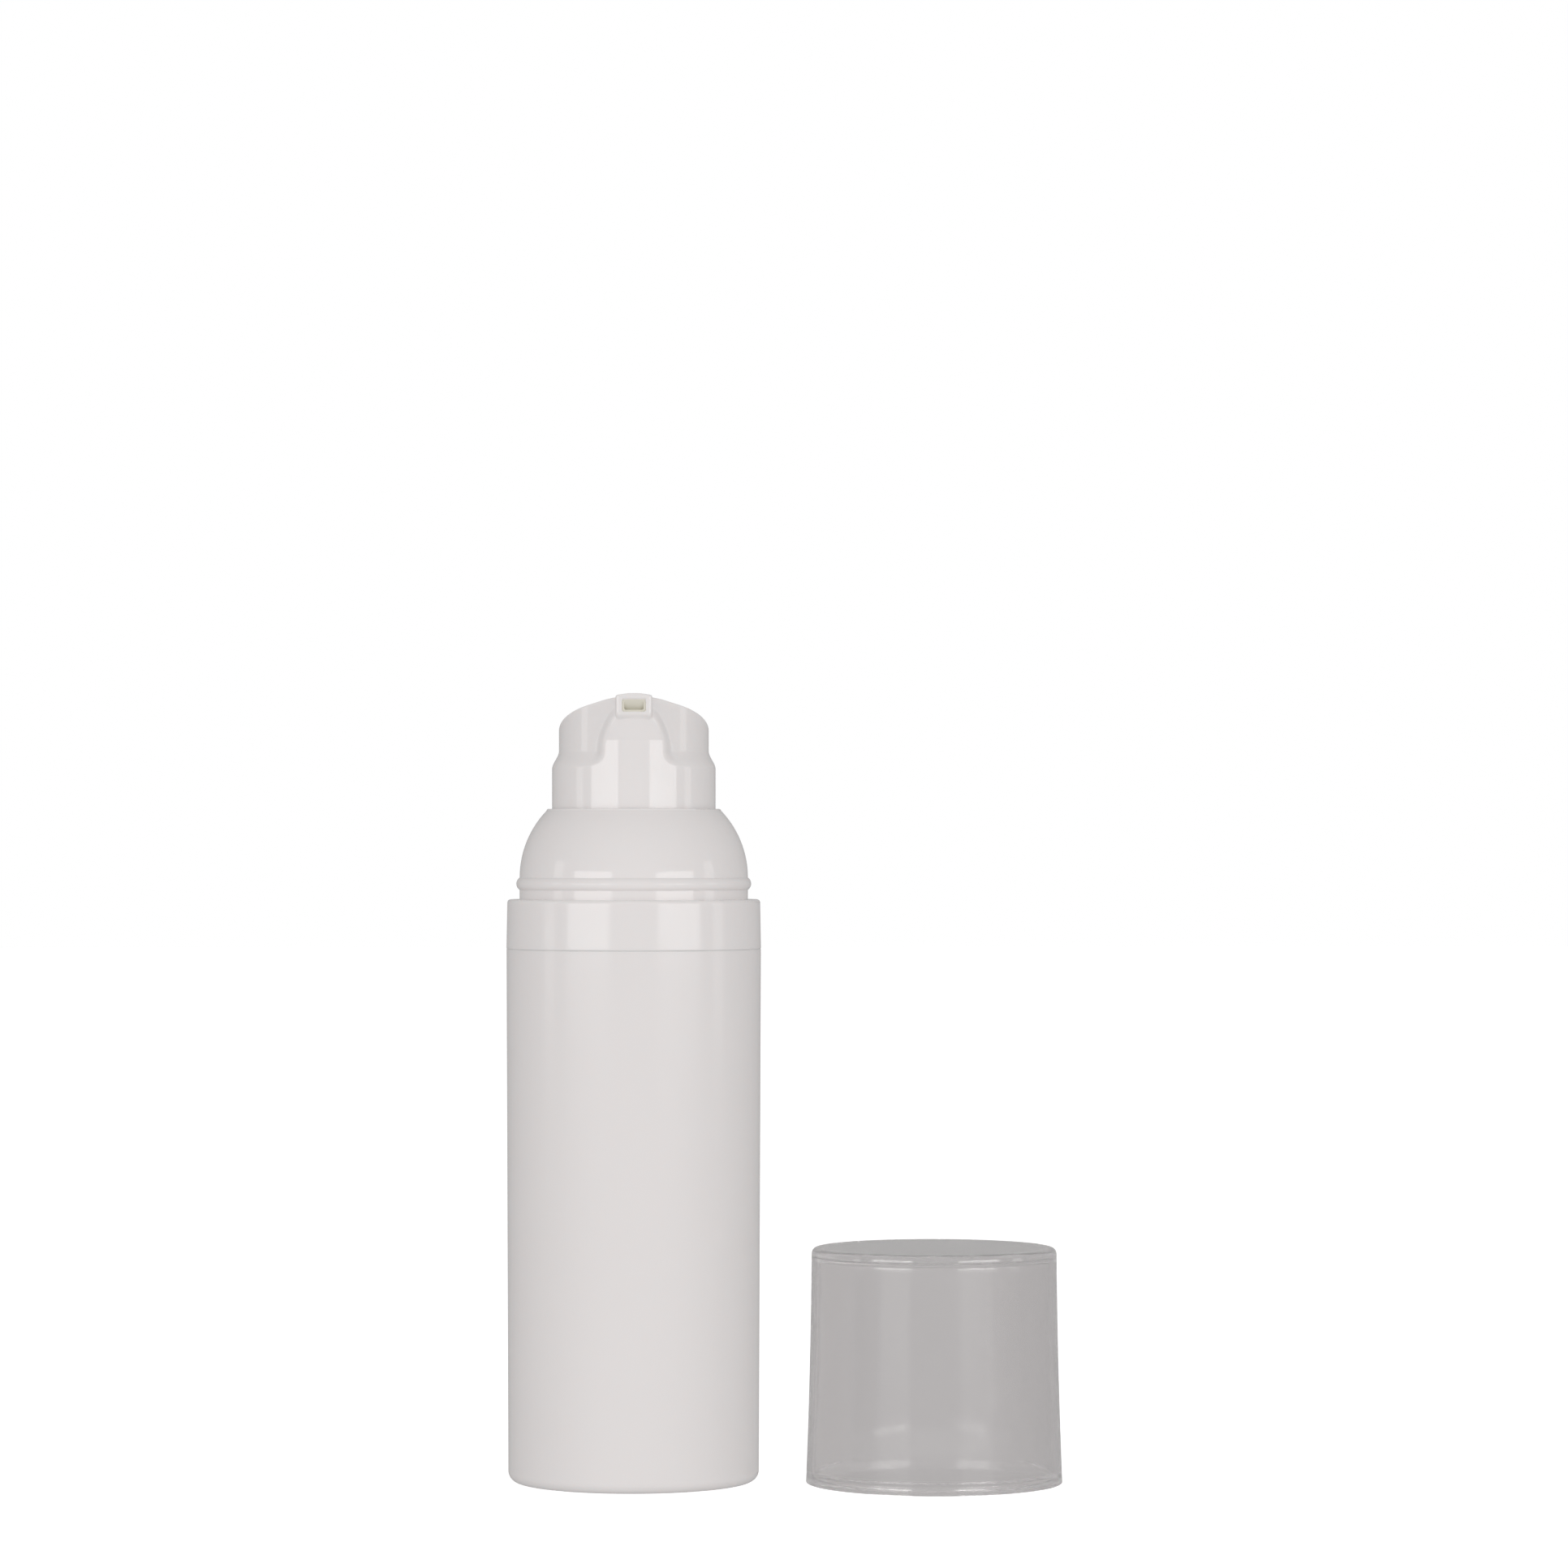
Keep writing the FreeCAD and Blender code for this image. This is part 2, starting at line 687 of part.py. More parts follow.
def make_liner():
    """Soft liner of the outlet, set back a little from the spout face."""
    y0 = -spout_reach + liner_set_back
    y1 = y0 + liner_len
    top = duct_roof_t + fit_gap
    bottom = duct_roof_t + duct_h - fit_gap
    half = duct_w / 2 - fit_gap
    outer = duct_slab(top, bottom, half, y0, y1)
    past = liner_wall
    inner = duct_slab(top + liner_wall, bottom - liner_wall, half - liner_wall, y0 - past, y1 + past)
    return round_along(outer, duct_corner).cut(round_along(inner, duct_corner))


def make_gasket():
    """Flat seal between the barrel neck and the pump flange."""
    return tube(bore_wall_r, neck_r, z_rim, z_flange)


def make_cap():
    """Over-cap standing on its rim, with the rib that snaps under the bead."""
    rim_r = cap_rim_d / 2
    mid_r = cap_mid_d / 2
    top_r = cap_top_d / 2
    rim_in_r = rim_r - cap_wall
    cap = lathe([
        Pt(rim_in_r, 0),
        Pt(rim_r, 0),
        Pt(mid_r, cap_h / 2),
        Pt(top_r, cap_h, cap_round),
        Pt(0, cap_h),
        Pt(0, cap_h - cap_top_t),
        Pt(top_r - cap_wall, cap_h - cap_top_t),
        Pt(mid_r - cap_wall, cap_h / 2),
        Pt(rim_in_r, cap_rib_above + cap_rib_h / 2),
        Pt(rim_in_r, cap_rib_above - cap_rib_h / 2, 0, (rim_in_r - cap_rib_proud, cap_rib_above)),
    ])
    cap.translate(V(cap_x, cap_y, 0))
    return cap


makers = {
    "barrel": make_barrel,
    "shoulder_collar": make_collar,
    "neck_gasket": make_gasket,
    "pump_cylinder": make_cylinder,
    "inlet_ball": make_ball,
    "poppet": make_poppet,
    "pump_piston": make_piston,
    "stem": make_stem,
    "stem_guide": make_guide,
    "return_spring": make_spring,
    "follower_piston": make_follower,
    "actuator_head": make_head,
    "spout_liner": make_liner,
    "over_cap": make_cap,
}

os.makedirs("parts", exist_ok=True)
for name, maker in makers.items():
    shape = maker()
    box = shape.BoundBox
    print(f"{name}: valid {shape.isValid()} solids {len(shape.Solids)} volume {shape.Volume:.2f}"
          f" z {box.ZMin:.2f}..{box.ZMax:.2f} r {box.XMax:.2f}")
    shape.exportStep(f"parts/{name}.step")
print(f"least gap between the spring's turns {coil_gap():.2f} mm")
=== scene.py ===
"""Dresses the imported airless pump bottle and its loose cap, and lights them in a plain studio.

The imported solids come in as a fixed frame. The head, the over-cap and the return spring are replaced by
finer surfaces worked out on numpy grids, and every other solid keeps its shape and takes a procedural
finish. Shapes are worked out in millimetres and put into the meshes in metres.
"""

import logging
import math
from collections.abc import Sequence
from dataclasses import dataclass, field, replace
from enum import Enum

import bpy
import numpy as np
from bpy.types import Material, Node, NodeTree, Object
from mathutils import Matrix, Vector


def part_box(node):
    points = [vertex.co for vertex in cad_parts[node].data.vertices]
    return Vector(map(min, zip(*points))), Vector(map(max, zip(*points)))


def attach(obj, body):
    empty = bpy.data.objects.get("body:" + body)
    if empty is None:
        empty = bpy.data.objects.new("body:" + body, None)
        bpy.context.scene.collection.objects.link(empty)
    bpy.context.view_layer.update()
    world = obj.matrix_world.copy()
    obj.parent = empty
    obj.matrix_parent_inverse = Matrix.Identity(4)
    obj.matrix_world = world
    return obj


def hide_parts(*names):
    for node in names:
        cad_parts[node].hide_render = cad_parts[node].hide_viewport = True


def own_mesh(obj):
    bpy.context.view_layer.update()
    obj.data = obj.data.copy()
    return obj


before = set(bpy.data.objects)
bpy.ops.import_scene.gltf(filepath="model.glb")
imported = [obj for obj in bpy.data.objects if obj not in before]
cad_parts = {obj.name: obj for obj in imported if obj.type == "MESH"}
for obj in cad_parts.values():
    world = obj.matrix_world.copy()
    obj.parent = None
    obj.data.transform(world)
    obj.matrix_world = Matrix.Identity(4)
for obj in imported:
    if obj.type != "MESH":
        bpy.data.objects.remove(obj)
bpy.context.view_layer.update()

MM = 0.001
MICRON = 1e-6
PLASTIC_IOR = 1.49
BLEED_MM = 0.45
BLEED_BY_COLOUR = (1.0, 0.9, 0.85)
LEAST_COSINE = 0.05
PHOTO_SIDE = 1932

Array = np.ndarray
Colour = tuple[float, float, float]
Corner = tuple[float, float, float]
Pair = tuple[float, float]
Socket = bpy.types.NodeSocket
Marks = dict[str, Socket]
Stops = Sequence[tuple[float, int]]

log = logging.getLogger("airless_bottle")


class Slot(Enum):
    """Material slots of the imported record."""

    WHITE_SATIN = "white_satin"
    WHITE_GLOSS = "white_gloss"
    NATURAL_ENGINE = "natural_engine"
    SOFT_PISTON = "soft_piston"
    SOFT_SEAL = "soft_seal"
    SPRING_STEEL = "spring_steel"
    STEEL_BALL = "steel_ball"
    CREAM_LINER = "cream_liner"
    CLEAR_CAP = "clear_cap"


class Body(Enum):
    """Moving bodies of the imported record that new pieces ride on."""

    BOTTLE = "bottle"
    HEAD = "head"
    CAP = "cap"


class Group(Enum):
    """Node groups that the finishes share."""

    SKIN = "moulded_skin"
    SCUFFS = "fine_scuffs"


class Side(Enum):
    """Sides of the bottle as the camera sees them, with the sign of X there."""

    LEFT = -1
    RIGHT = 1


# Shape helpers


def spaced(start: float, stops: Stops) -> Array:
    """Values from a start through each stop, evenly spaced on the way to it.

    Args:
        start: First value.
        stops: Pairs of a value to reach and the number of steps that lead to it.

    Returns:
        The values in order, start and last stop included.
    """
    runs = [np.array([start])]
    for value, steps in stops:
        runs.append(np.linspace(runs[-1][-1], value, steps + 1)[1:])
    return np.concatenate(runs)


def smooth_step(low: float, high: float, value: Array) -> Array:
    """Ease from 0 at low to 1 at high: with t the clipped share of the way, 3t squared less 2t cubed.

    Args:
        low: Value where the ease starts.
        high: Value where it ends.
        value: Values to ease.

    Returns:
        Shares between 0 and 1.
    """
    share = np.clip((value - low) / (high - low), 0.0, 1.0)
    return share * share * (3.0 - 2.0 * share)


def smooth_min(first: Array, second: Array, blend: float) -> Array:
    """Lower of two surfaces with the edge between them rounded.

    Formula: the lower one, less h squared times a quarter of the blend, where h is how much of the blend
    width the two surfaces are closer than.

    Args:
        first: One surface.
        second: The other.
        blend: Width over which the edge is rounded.

    Returns:
        The rounded lower envelope.
    """
    close = np.maximum(blend - np.abs(first - second), 0.0) / blend
    return np.minimum(first, second) - close * close * blend / 4.0


def smooth_max(first: Array, second: Array, blend: float) -> Array:
    """Upper of two surfaces with the corner between them filled, as smooth_min with its signs turned."""
    return -smooth_min(-first, -second, blend)


def fillet(before: Array, corner: Array, after: Array, steps: int) -> Array:
    """Rows of a quadratic curve that leaves one point for a corner and bends to another.

    Formula: (1 - t) squared of the first, 2t(1 - t) of the corner and t squared of the last, with t between
    0 and 1.

    Args:
        before: Points where the rounding starts, one per column.
        corner: Sharp corner points.
        after: Points where it ends.
        steps: Number of rows between the two ends.

    Returns:
        Array of rows, columns and coordinates, without the two ends.
    """
    share = np.linspace(0.0, 1.0, steps + 2)[1:-1, None, None]
    return (1 - share) ** 2 * before + 2 * share * (1 - share) * corner + share**2 * after


def polar(radius: Array, angle: Array, height: Array) -> Array:
    """Points round Z.

    Formula: x is the radius times the sine of the angle, y is minus the radius times its cosine, and z is
    the height.

    Args:
        radius: Radii, by rows and columns or by rows alone.
        angle: Angle of each column from the -Y direction, in radians.
        height: Heights, in the same form as the radii.

    Returns:
        Array of rows, columns and coordinates.
    """
    x = radius * np.sin(angle)
    return np.stack([x, -radius * np.cos(angle), np.broadcast_to(height, x.shape)], axis=-1)


def rounded_profile(corners: Sequence[Corner], steps: int) -> Array:
    """Open outline of (radius, height) points with its corners rounded.

    Each corner with a rounding gives way to the quadratic curve of fillet() between the points that lie the
    rounding's length before and after it.

    Args:
        corners: Radius, height and rounding length of each corner.
        steps: Points between the two ends of a rounding.

    Returns:
        Radius and height of each point.
    """
    points = np.array([corner[:2] for corner in corners], float)
    rows: list[Array] = []
    for index, (_, _, reach) in enumerate(corners):
        here = points[index]
        if reach == 0.0:
            rows.append(here[None])
            continue
        back = points[index - 1] - here
        ahead = points[index + 1] - here
        entry = (here + back * reach / np.linalg.norm(back))[None]
        leave = (here + ahead * reach / np.linalg.norm(ahead))[None]
        bend = fillet(entry, here[None], leave, steps)[:, 0]
        rows += [entry, bend, leave]
    return np.concatenate(rows)


@dataclass
class RingSurface:
    """Closed surface made of rings of points, with a pole at each end.

    Attributes:
        name: Name of the piece.
        rings: Rows, columns and coordinates in millimetres; the columns close on themselves.
        sharp_degrees: Edges that turn by more than this stay crisp.
    """

    name: str
    rings: Array
    sharp_degrees: float = 38.0

    def points(self) -> Array:
        """All points in metres: the rings, then the first pole and the last pole."""
        poles = self.rings[[0, -1]].mean(axis=1)
        return np.concatenate([self.rings.reshape(-1, 3), poles]) * MM

    def faces(self) -> tuple[Array, Array]:
        """Corner numbers of the faces between the rings and round the poles.

        Returns:
            The four-cornered faces and the three-cornered ones, facing outwards.
        """
        rows, columns = self.rings.shape[:2]
        here = np.arange(rows * columns).reshape(rows, columns)
        beside = np.roll(here, -1, axis=1)
        quads = np.stack([here[:-1], here[1:], beside[1:], beside[:-1]], axis=-1).reshape(-1, 4)
        first = np.full(columns, rows * columns)
        fans = np.concatenate([
            np.stack([first, here[0], beside[0]], axis=-1),
            np.stack([here[-1], first + 1, beside[-1]], axis=-1),
        ])
        triangles = np.concatenate([quads[:, [0, 1, 2]], quads[:, [0, 2, 3]]])
        if np.linalg.det(self.points()[triangles]).sum() < 0:
            quads, fans = quads[:, ::-1], fans[:, ::-1]
        return quads, fans

    def build(self, materials: Sequence[Material]) -> Object:
        """Puts the surface into the scene.

        Args:
            materials: Materials of the piece, the main one first.

        Returns:
            The new object, at the origin with its place in its mesh.
        """
        quads, fans = self.faces()
        mesh = bpy.data.meshes.new(self.name)
        mesh.from_pydata(self.points().tolist(), [], quads.tolist() + fans.tolist())
        mesh.shade_smooth()
        mesh.set_sharp_from_angle(angle=math.radians(self.sharp_degrees))
        for material in materials:
            mesh.materials.append(material)
        piece = bpy.data.objects.new(self.name, mesh)
        bpy.context.scene.collection.objects.link(piece)
        return piece


# Finishes


@dataclass
class NodeBench:
    """Adds nodes to one node tree and wires them.

    Attributes:
        tree: The tree.
    """

    tree: NodeTree

    def add(self, kind: str, inputs: dict | None = None, **settings: object) -> Node:
        """Adds a node.

        Args:
            kind: Type name of the node.
            inputs: Value or source socket for each input, by its name or number.
            **settings: Properties of the node.

        Returns:
            The new node.
        """
        node = self.tree.nodes.new(kind)
        for name, value in settings.items():
            setattr(node, name, value)
        for key, value in (inputs or {}).items():
            if isinstance(value, Socket):
                self.tree.links.new(value, node.inputs[key])
            else:
                node.inputs[key].default_value = value
        return node

    def mix(self, share: Socket, first: Colour, second: Colour) -> Socket:
        """Colour between two colours, by a share that changes over the surface."""
        inputs = {0: share, 6: (*first, 1.0), 7: (*second, 1.0)}
        return self.add("ShaderNodeMix", inputs, data_type="RGBA").outputs[2]

    def math(self, operation: str, first: Socket, second: Socket | float) -> Socket:
        """Result of an operation on two numbers."""
        return self.add("ShaderNodeMath", {0: first, 1: second}, operation=operation).outputs[0]

    def ramp(
        self, value: Socket, source: Sequence = (0.0, 1.0), target: Pair = (0.0, 1.0), ease: str = "LINEAR"
    ) -> Socket:
        """Value carried from a source span to a target span and held at its ends."""
        ends = dict(zip(("From Min", "From Max", "To Min", "To Max"), (*source, *target)))
        return self.add("ShaderNodeMapRange", {"Value": value, **ends}, interpolation_type=ease).outputs[0]


def open_group(group: Group, inputs: dict[str, float], *outputs: str) -> tuple[NodeBench, Node, Socket]:
    """Starts a node group with named number sockets.

    Args:
        group: The group.
        inputs: Name and default value of each input.
        *outputs: Name of each output.

    Returns:
        Bench of the group, its input node and the object's coordinates.
    """
    tree = bpy.data.node_groups.new(group.value, "ShaderNodeTree")
    for name, value in inputs.items():
        socket = tree.interface.new_socket(name, in_out="INPUT", socket_type="NodeSocketFloat")
        socket.default_value = value
    for name in outputs:
        tree.interface.new_socket(name, in_out="OUTPUT", socket_type="NodeSocketFloat")
    bench = NodeBench(tree)
    return bench, bench.add("NodeGroupInput"), bench.add("ShaderNodeTexCoord").outputs["Object"]


def build_skin_group() -> None:
    """Surface of a moulding: soft waviness, fine grain, faint cloudiness and finger smudges, from 0 to 1."""
    scales = {"Peel Scale": 250.0, "Grain Scale": 4000.0, "Cloud Scale": 60.0, "Smudge Scale": 130.0}
    bench, entry, place = open_group(Group.SKIN, scales, "Peel", "Grain", "Cloud", "Smudge")

    def noise(scale: str, detail: float, distortion: float = 0.0) -> Socket:
        """Noise of one of the group's scales."""
        inputs = {"Vector": place, "Scale": entry.outputs[scale], "Detail": detail, "Distortion": distortion}
        return bench.add("ShaderNodeTexNoise", inputs).outputs["Fac"]

    bench.add("NodeGroupOutput", {
        "Peel": noise("Peel Scale", 1.0),
        "Grain": noise("Grain Scale", 4.0),
        "Cloud": noise("Cloud Scale", 3.0),
        "Smudge": bench.ramp(noise("Smudge Scale", 3.0, 0.8), (0.54, 0.72), ease="SMOOTHSTEP"),
    })


def build_scuff_group() -> None:
    """Hairline marks of handling, from 0 to 1: thin cell borders that show only here and there."""
    bench, entry, place = open_group(Group.SCUFFS, {"Mark Scale": 160.0, "Reach": 0.006}, "Scuff")
    bend = bench.add("ShaderNodeTexNoise", {"Vector": place, "Scale": 300.0, "Detail": 2.0})
    shift = bench.add("ShaderNodeVectorMath", {0: bend.outputs["Color"], "Scale": 0.004}, operation="SCALE")
    moved = bench.add("ShaderNodeVectorMath", {0: place, 1: shift.outputs[0]}, operation="ADD")
    cells = bench.add(
        "ShaderNodeTexVoronoi",
        {"Vector": moved.outputs[0], "Scale": entry.outputs["Mark Scale"]},
        feature="DISTANCE_TO_EDGE",
    )
    line = bench.ramp(cells.outputs["Distance"], (0.0, entry.outputs["Reach"]), (1.0, 0.0))
    patches = bench.add("ShaderNodeTexNoise", {"Vector": place, "Scale": 95.0, "Detail": 2.0})
    patch = bench.ramp(patches.outputs["Fac"], (0.64, 0.74))
    bench.add("NodeGroupOutput", {"Scuff": bench.math("MULTIPLY", line, patch)})


@dataclass(frozen=True)
class Finish:
    """Moulded plastic: body colour, gloss and the height of its surface marks.

    Attributes:
        name: Name of the material.
        slot: Not used.
        colour: Body colour, linear.
        shade: Colour of its cloudier places.
        roughness: Roughness of the clean surface.
        grain_um: Height of the fine grain, in micrometres.
        smudge_rise: Added roughness where it was handled.
        peel_um: Height of the soft waviness, in micrometres.
        scuff_um: Depth of the hairline marks, in micrometres.
        bleed: Share of the light that spreads inside the plastic.
        satin_top: Height, in millimetres, up to which the mould was left less polished.
        satin_rise: Added roughness below that height.
        satin_fade: Height over which it ends.
    """

    name: str
    slot: Slot
    colour: Colour
    shade: Colour
    roughness: float
    grain_um: float
    smudge_rise: float = 0.05
    peel_um: float = 1.5
    scuff_um: float = 1.0
    bleed: float = 0.0
    satin_top: float = 0.0
    satin_rise: float = 0.0
    satin_fade: float = 0.3

    def material(self) -> Material:
        """Builds the node material.

        Returns:
            The material.
        """
        material = bpy.data.materials.new(self.name)
        material.use_nodes = True
        material.node_tree.nodes.clear()
        bench = NodeBench(material.node_tree)
        marks: Marks = {}
        for group in Group:
            tree = bpy.data.node_groups[group.value]
            marks |= dict(bench.add("ShaderNodeGroup", node_tree=tree).outputs.items())
        shader = bench.add("ShaderNodeBsdfPrincipled", {
            "Base Color": bench.mix(marks["Cloud"], self.colour, self.shade),
            "Roughness": self.rough_socket(bench, marks),
            "Normal": self.relief(bench, marks),
            **self.plain(),
        })
        bench.add("ShaderNodeOutputMaterial", {"Surface": shader.outputs["BSDF"]})
        return material

    def rough_socket(self, bench: NodeBench, marks: Marks) -> Socket:
        """Roughness that rises in smudges, along scuffs and over the satin band.

        Args:
            bench: Bench of the material.
            marks: Surface marks by name.

        Returns:
            The roughness.
        """
        both = bench.math("MAXIMUM", marks["Smudge"], marks["Scuff"])
        handled = bench.ramp(both, target=(self.roughness, self.roughness + self.smudge_rise))
        place = bench.add("ShaderNodeTexCoord").outputs["Object"]
        height = bench.add("ShaderNodeSeparateXYZ", {0: place}).outputs["Z"]
        edge = self.satin_top * MM
        satin = bench.ramp(height, (edge, edge + self.satin_fade * MM), (self.satin_rise, 0.0))
        return bench.math("ADD", handled, satin)

    def relief(self, bench: NodeBench, marks: Marks) -> Socket:
        """Normal bent by waviness, then by grain, then by the scuffs cut into it.

        Args:
            bench: Bench of the material.
            marks: Surface marks by name.

        Returns:
            The normal.
        """
        normal: Socket | None = None
        depths = {"Peel": self.peel_um, "Grain": self.grain_um, "Scuff": self.scuff_um}
        for name, depth_um in depths.items():
            inputs = {"Height": marks[name], "Strength": 1.0, "Distance": depth_um * MICRON}
            if normal is not None:
                inputs["Normal"] = normal
            normal = bench.add("ShaderNodeBump", inputs, invert=name == "Scuff").outputs["Normal"]
        return normal

    def plain(self) -> dict[str, float | Colour]:
        """Values of the shader that are the same all over."""
        return {
            "IOR": PLASTIC_IOR,
            "Subsurface Weight": self.bleed,
            "Subsurface Radius": BLEED_BY_COLOUR,
            "Subsurface Scale": BLEED_MM * MM,
        }


@dataclass(frozen=True)
class ClearFinish(Finish):
    """Milky see-through plastic.

    Attributes:
        clear: Share of the light that goes through instead of scattering at the surface.
    """

    clear: float = 0.95

    def plain(self) -> dict[str, float | Colour]:
        """Values of the shader that are the same all over."""
        return {"IOR": PLASTIC_IOR, "Transmission Weight": self.clear}


@dataclass(frozen=True)
class SteelFinish(Finish):
    """Bare stainless steel."""

    def plain(self) -> dict[str, float | Colour]:
        """Values of the shader that are the same all over."""
        return {"Metallic": 1.0}


WHITE_SATIN = Finish(
    "white_satin_plastic", Slot.WHITE_SATIN, colour=(0.872, 0.848, 0.845), shade=(0.858, 0.834, 0.83),
    roughness=0.15, grain_um=0.1, scuff_um=0.15, bleed=0.35,
)
WHITE_GLOSS = Finish(
    "white_gloss_plastic", Slot.WHITE_GLOSS, colour=(0.88, 0.856, 0.853), shade=(0.87, 0.846, 0.842),
    roughness=0.07, peel_um=1.0, grain_um=0.03, scuff_um=0.1, bleed=0.35,
)
COLLAR_GLOSS = replace(WHITE_GLOSS, name="white_collar_plastic", satin_top=79.3, satin_rise=0.07)
NATURAL = Finish(
    "natural_plastic", Slot.NATURAL_ENGINE, colour=(0.72, 0.72, 0.66), shade=(0.68, 0.68, 0.62),
    roughness=0.32, smudge_rise=0.06, peel_um=2.0, grain_um=0.6,
)
PISTON = Finish(
    "soft_piston_plastic", Slot.SOFT_PISTON, colour=(0.74, 0.74, 0.70), shade=(0.70, 0.70, 0.66),
    roughness=0.42, smudge_rise=0.06, peel_um=2.0, grain_um=1.0, scuff_um=0.5,
)
SEAL = Finish(
    "seal_rubber", Slot.SOFT_SEAL, colour=(0.62, 0.62, 0.60), shade=(0.56, 0.56, 0.54),
    roughness=0.6, smudge_rise=0.08, peel_um=3.0, grain_um=2.0, scuff_um=0.5,
)
LINER = Finish(
    "cream_liner_plastic", Slot.CREAM_LINER, colour=(0.77, 0.752, 0.67), shade=(0.75, 0.732, 0.645),
    roughness=0.45, peel_um=2.0, grain_um=0.5, scuff_um=0.1,
)
CAP_CLEAR = ClearFinish(
    "clear_cap_plastic", Slot.CLEAR_CAP, colour=(0.98, 0.976, 0.976), shade=(0.96, 0.955, 0.956),
    roughness=0.08, peel_um=1.0, grain_um=0.03, scuff_um=0.1,
)
WIRE_STEEL = SteelFinish(
    "drawn_wire_steel", Slot.SPRING_STEEL, colour=(0.58, 0.57, 0.55), shade=(0.48, 0.47, 0.46),
    roughness=0.28, smudge_rise=0.10, peel_um=1.0, grain_um=1.5,
)
BALL_STEEL = SteelFinish(
    "polished_ball_steel", Slot.STEEL_BALL, colour=(0.66, 0.66, 0.66), shade=(0.60, 0.60, 0.60),
    roughness=0.08, peel_um=0.2, grain_um=0.1, scuff_um=0.3,
)


def dress_node(name: str, material: Material) -> None:
    """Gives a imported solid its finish.

    Args:
        name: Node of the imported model.
        material: Material for all its slots.
    """
    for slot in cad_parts[name].material_slots:
        slot.material = material
    log.info("%s keeps its solid and takes %s", name, material.name)


def place_piece(piece: Object, body: Body, finish: Finish, *nodes: str) -> None:
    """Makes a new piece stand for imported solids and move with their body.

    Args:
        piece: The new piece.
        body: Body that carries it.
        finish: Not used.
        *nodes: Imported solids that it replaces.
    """
    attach(piece, body.value)
    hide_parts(*nodes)
    log.info("%s replaces %s: %d faces", piece.name, ", ".join(nodes), len(piece.data.polygons))


# Sub-assemblies


@dataclass
class Reservoir:
    """Barrel, collar, follower and gasket, whose solids already have their final shapes.

    Attributes:
        finishes: Node and finish of each.
    """

    finishes: tuple[tuple[str, Finish], ...] = (
        ("barrel", WHITE_SATIN),
        ("shoulder_collar", COLLAR_GLOSS),
        ("follower_piston", PISTON),
        ("neck_gasket", SEAL),
    )

    def dress(self) -> None:
        """Gives each solid its finish."""
        for name, finish in self.finishes:
            dress_node(name, finish.material())


@dataclass
class PumpEngine:
    """Working parts inside the collar, with the return spring as a finer coil.

    Attributes:
        wire: Diameter of the spring wire.
        turns: Turns of the spring.
        end_pitch: Rise of the wire per turn at both ends.
        stroke: Not used.
        points_per_turn: Rings of the wire in one turn.
        points_round: Points round the wire.
        moulded: Nodes of natural plastic.
    """

    wire: float = 0.7
    turns: int = 5
    end_pitch: float = 1.15
    stroke: float = 5.0
    points_per_turn: int = 72
    points_round: int = 20
    moulded: tuple[str, ...] = ("pump_cylinder", "poppet", "stem", "stem_guide")

    def dress(self) -> None:
        """Gives the solids their finishes and adds the spring."""
        natural = NATURAL.material()
        for name in self.moulded:
            dress_node(name, natural)
        dress_node("pump_piston", PISTON.material())
        dress_node("inlet_ball", BALL_STEEL.material())
        self.build_spring()

    def build_spring(self) -> None:
        """Adds the coil in place of its solid."""
        low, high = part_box("return_spring")
        mean_r = (high.x - low.x) / MM / 2 - self.wire / 2
        length = (high.z - low.z) / MM
        rings = self.coil(mean_r, low.z / MM, length)
        piece = RingSurface("return_coil", rings).build([WIRE_STEEL.material()])
        place_piece(piece, Body.BOTTLE, WIRE_STEEL, "return_spring")
        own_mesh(piece)

    def coil(self, mean_r: float, z_low: float, length: float) -> Array:
        """Wire of round section carried along a helix whose pitch opens towards the middle.

        Formula: with s the share of the turns, the wire rises by turns x (end pitch x s + spare x (s/2 -
        sin(2 pi s) / 4 pi)), and the section's circle lies across the wire's direction.

        Args:
            mean_r: Radius of the helix.
            z_low: Height of the spring's foot.
            length: Length of the spring.

        Returns:
            Rings of the wire's surface.
        """
        share = np.linspace(0.0, 1.0, self.turns * self.points_per_turn + 1)[:, None]
        spare = 2 * ((length - self.wire) / self.turns - self.end_pitch)
        wave = share / 2 - np.sin(2 * np.pi * share) / (4 * np.pi)
        rise = self.turns * (self.end_pitch * share + spare * wave)
        pitch = self.end_pitch + spare * np.sin(np.pi * share) ** 2
        turn = 2 * np.pi * self.turns * share
        flat = np.zeros_like(turn)
        outward = np.concatenate([np.cos(turn), np.sin(turn), flat], axis=1)
        climb = np.arctan2(pitch, 2 * np.pi * mean_r)
        tilt = np.sin(climb)
        across = np.concatenate([tilt * np.sin(turn), -tilt * np.cos(turn), np.cos(climb)], axis=1)
        centre = mean_r * outward
        centre[:, 2:] += z_low + self.wire / 2 + rise
        around = np.linspace(0.0, 2 * np.pi, self.points_round, endpoint=False)[None, :, None]
        ring = np.cos(around) * outward[:, None] + np.sin(around) * across[:, None]
        return centre[:, None] + ring * self.wire / 2


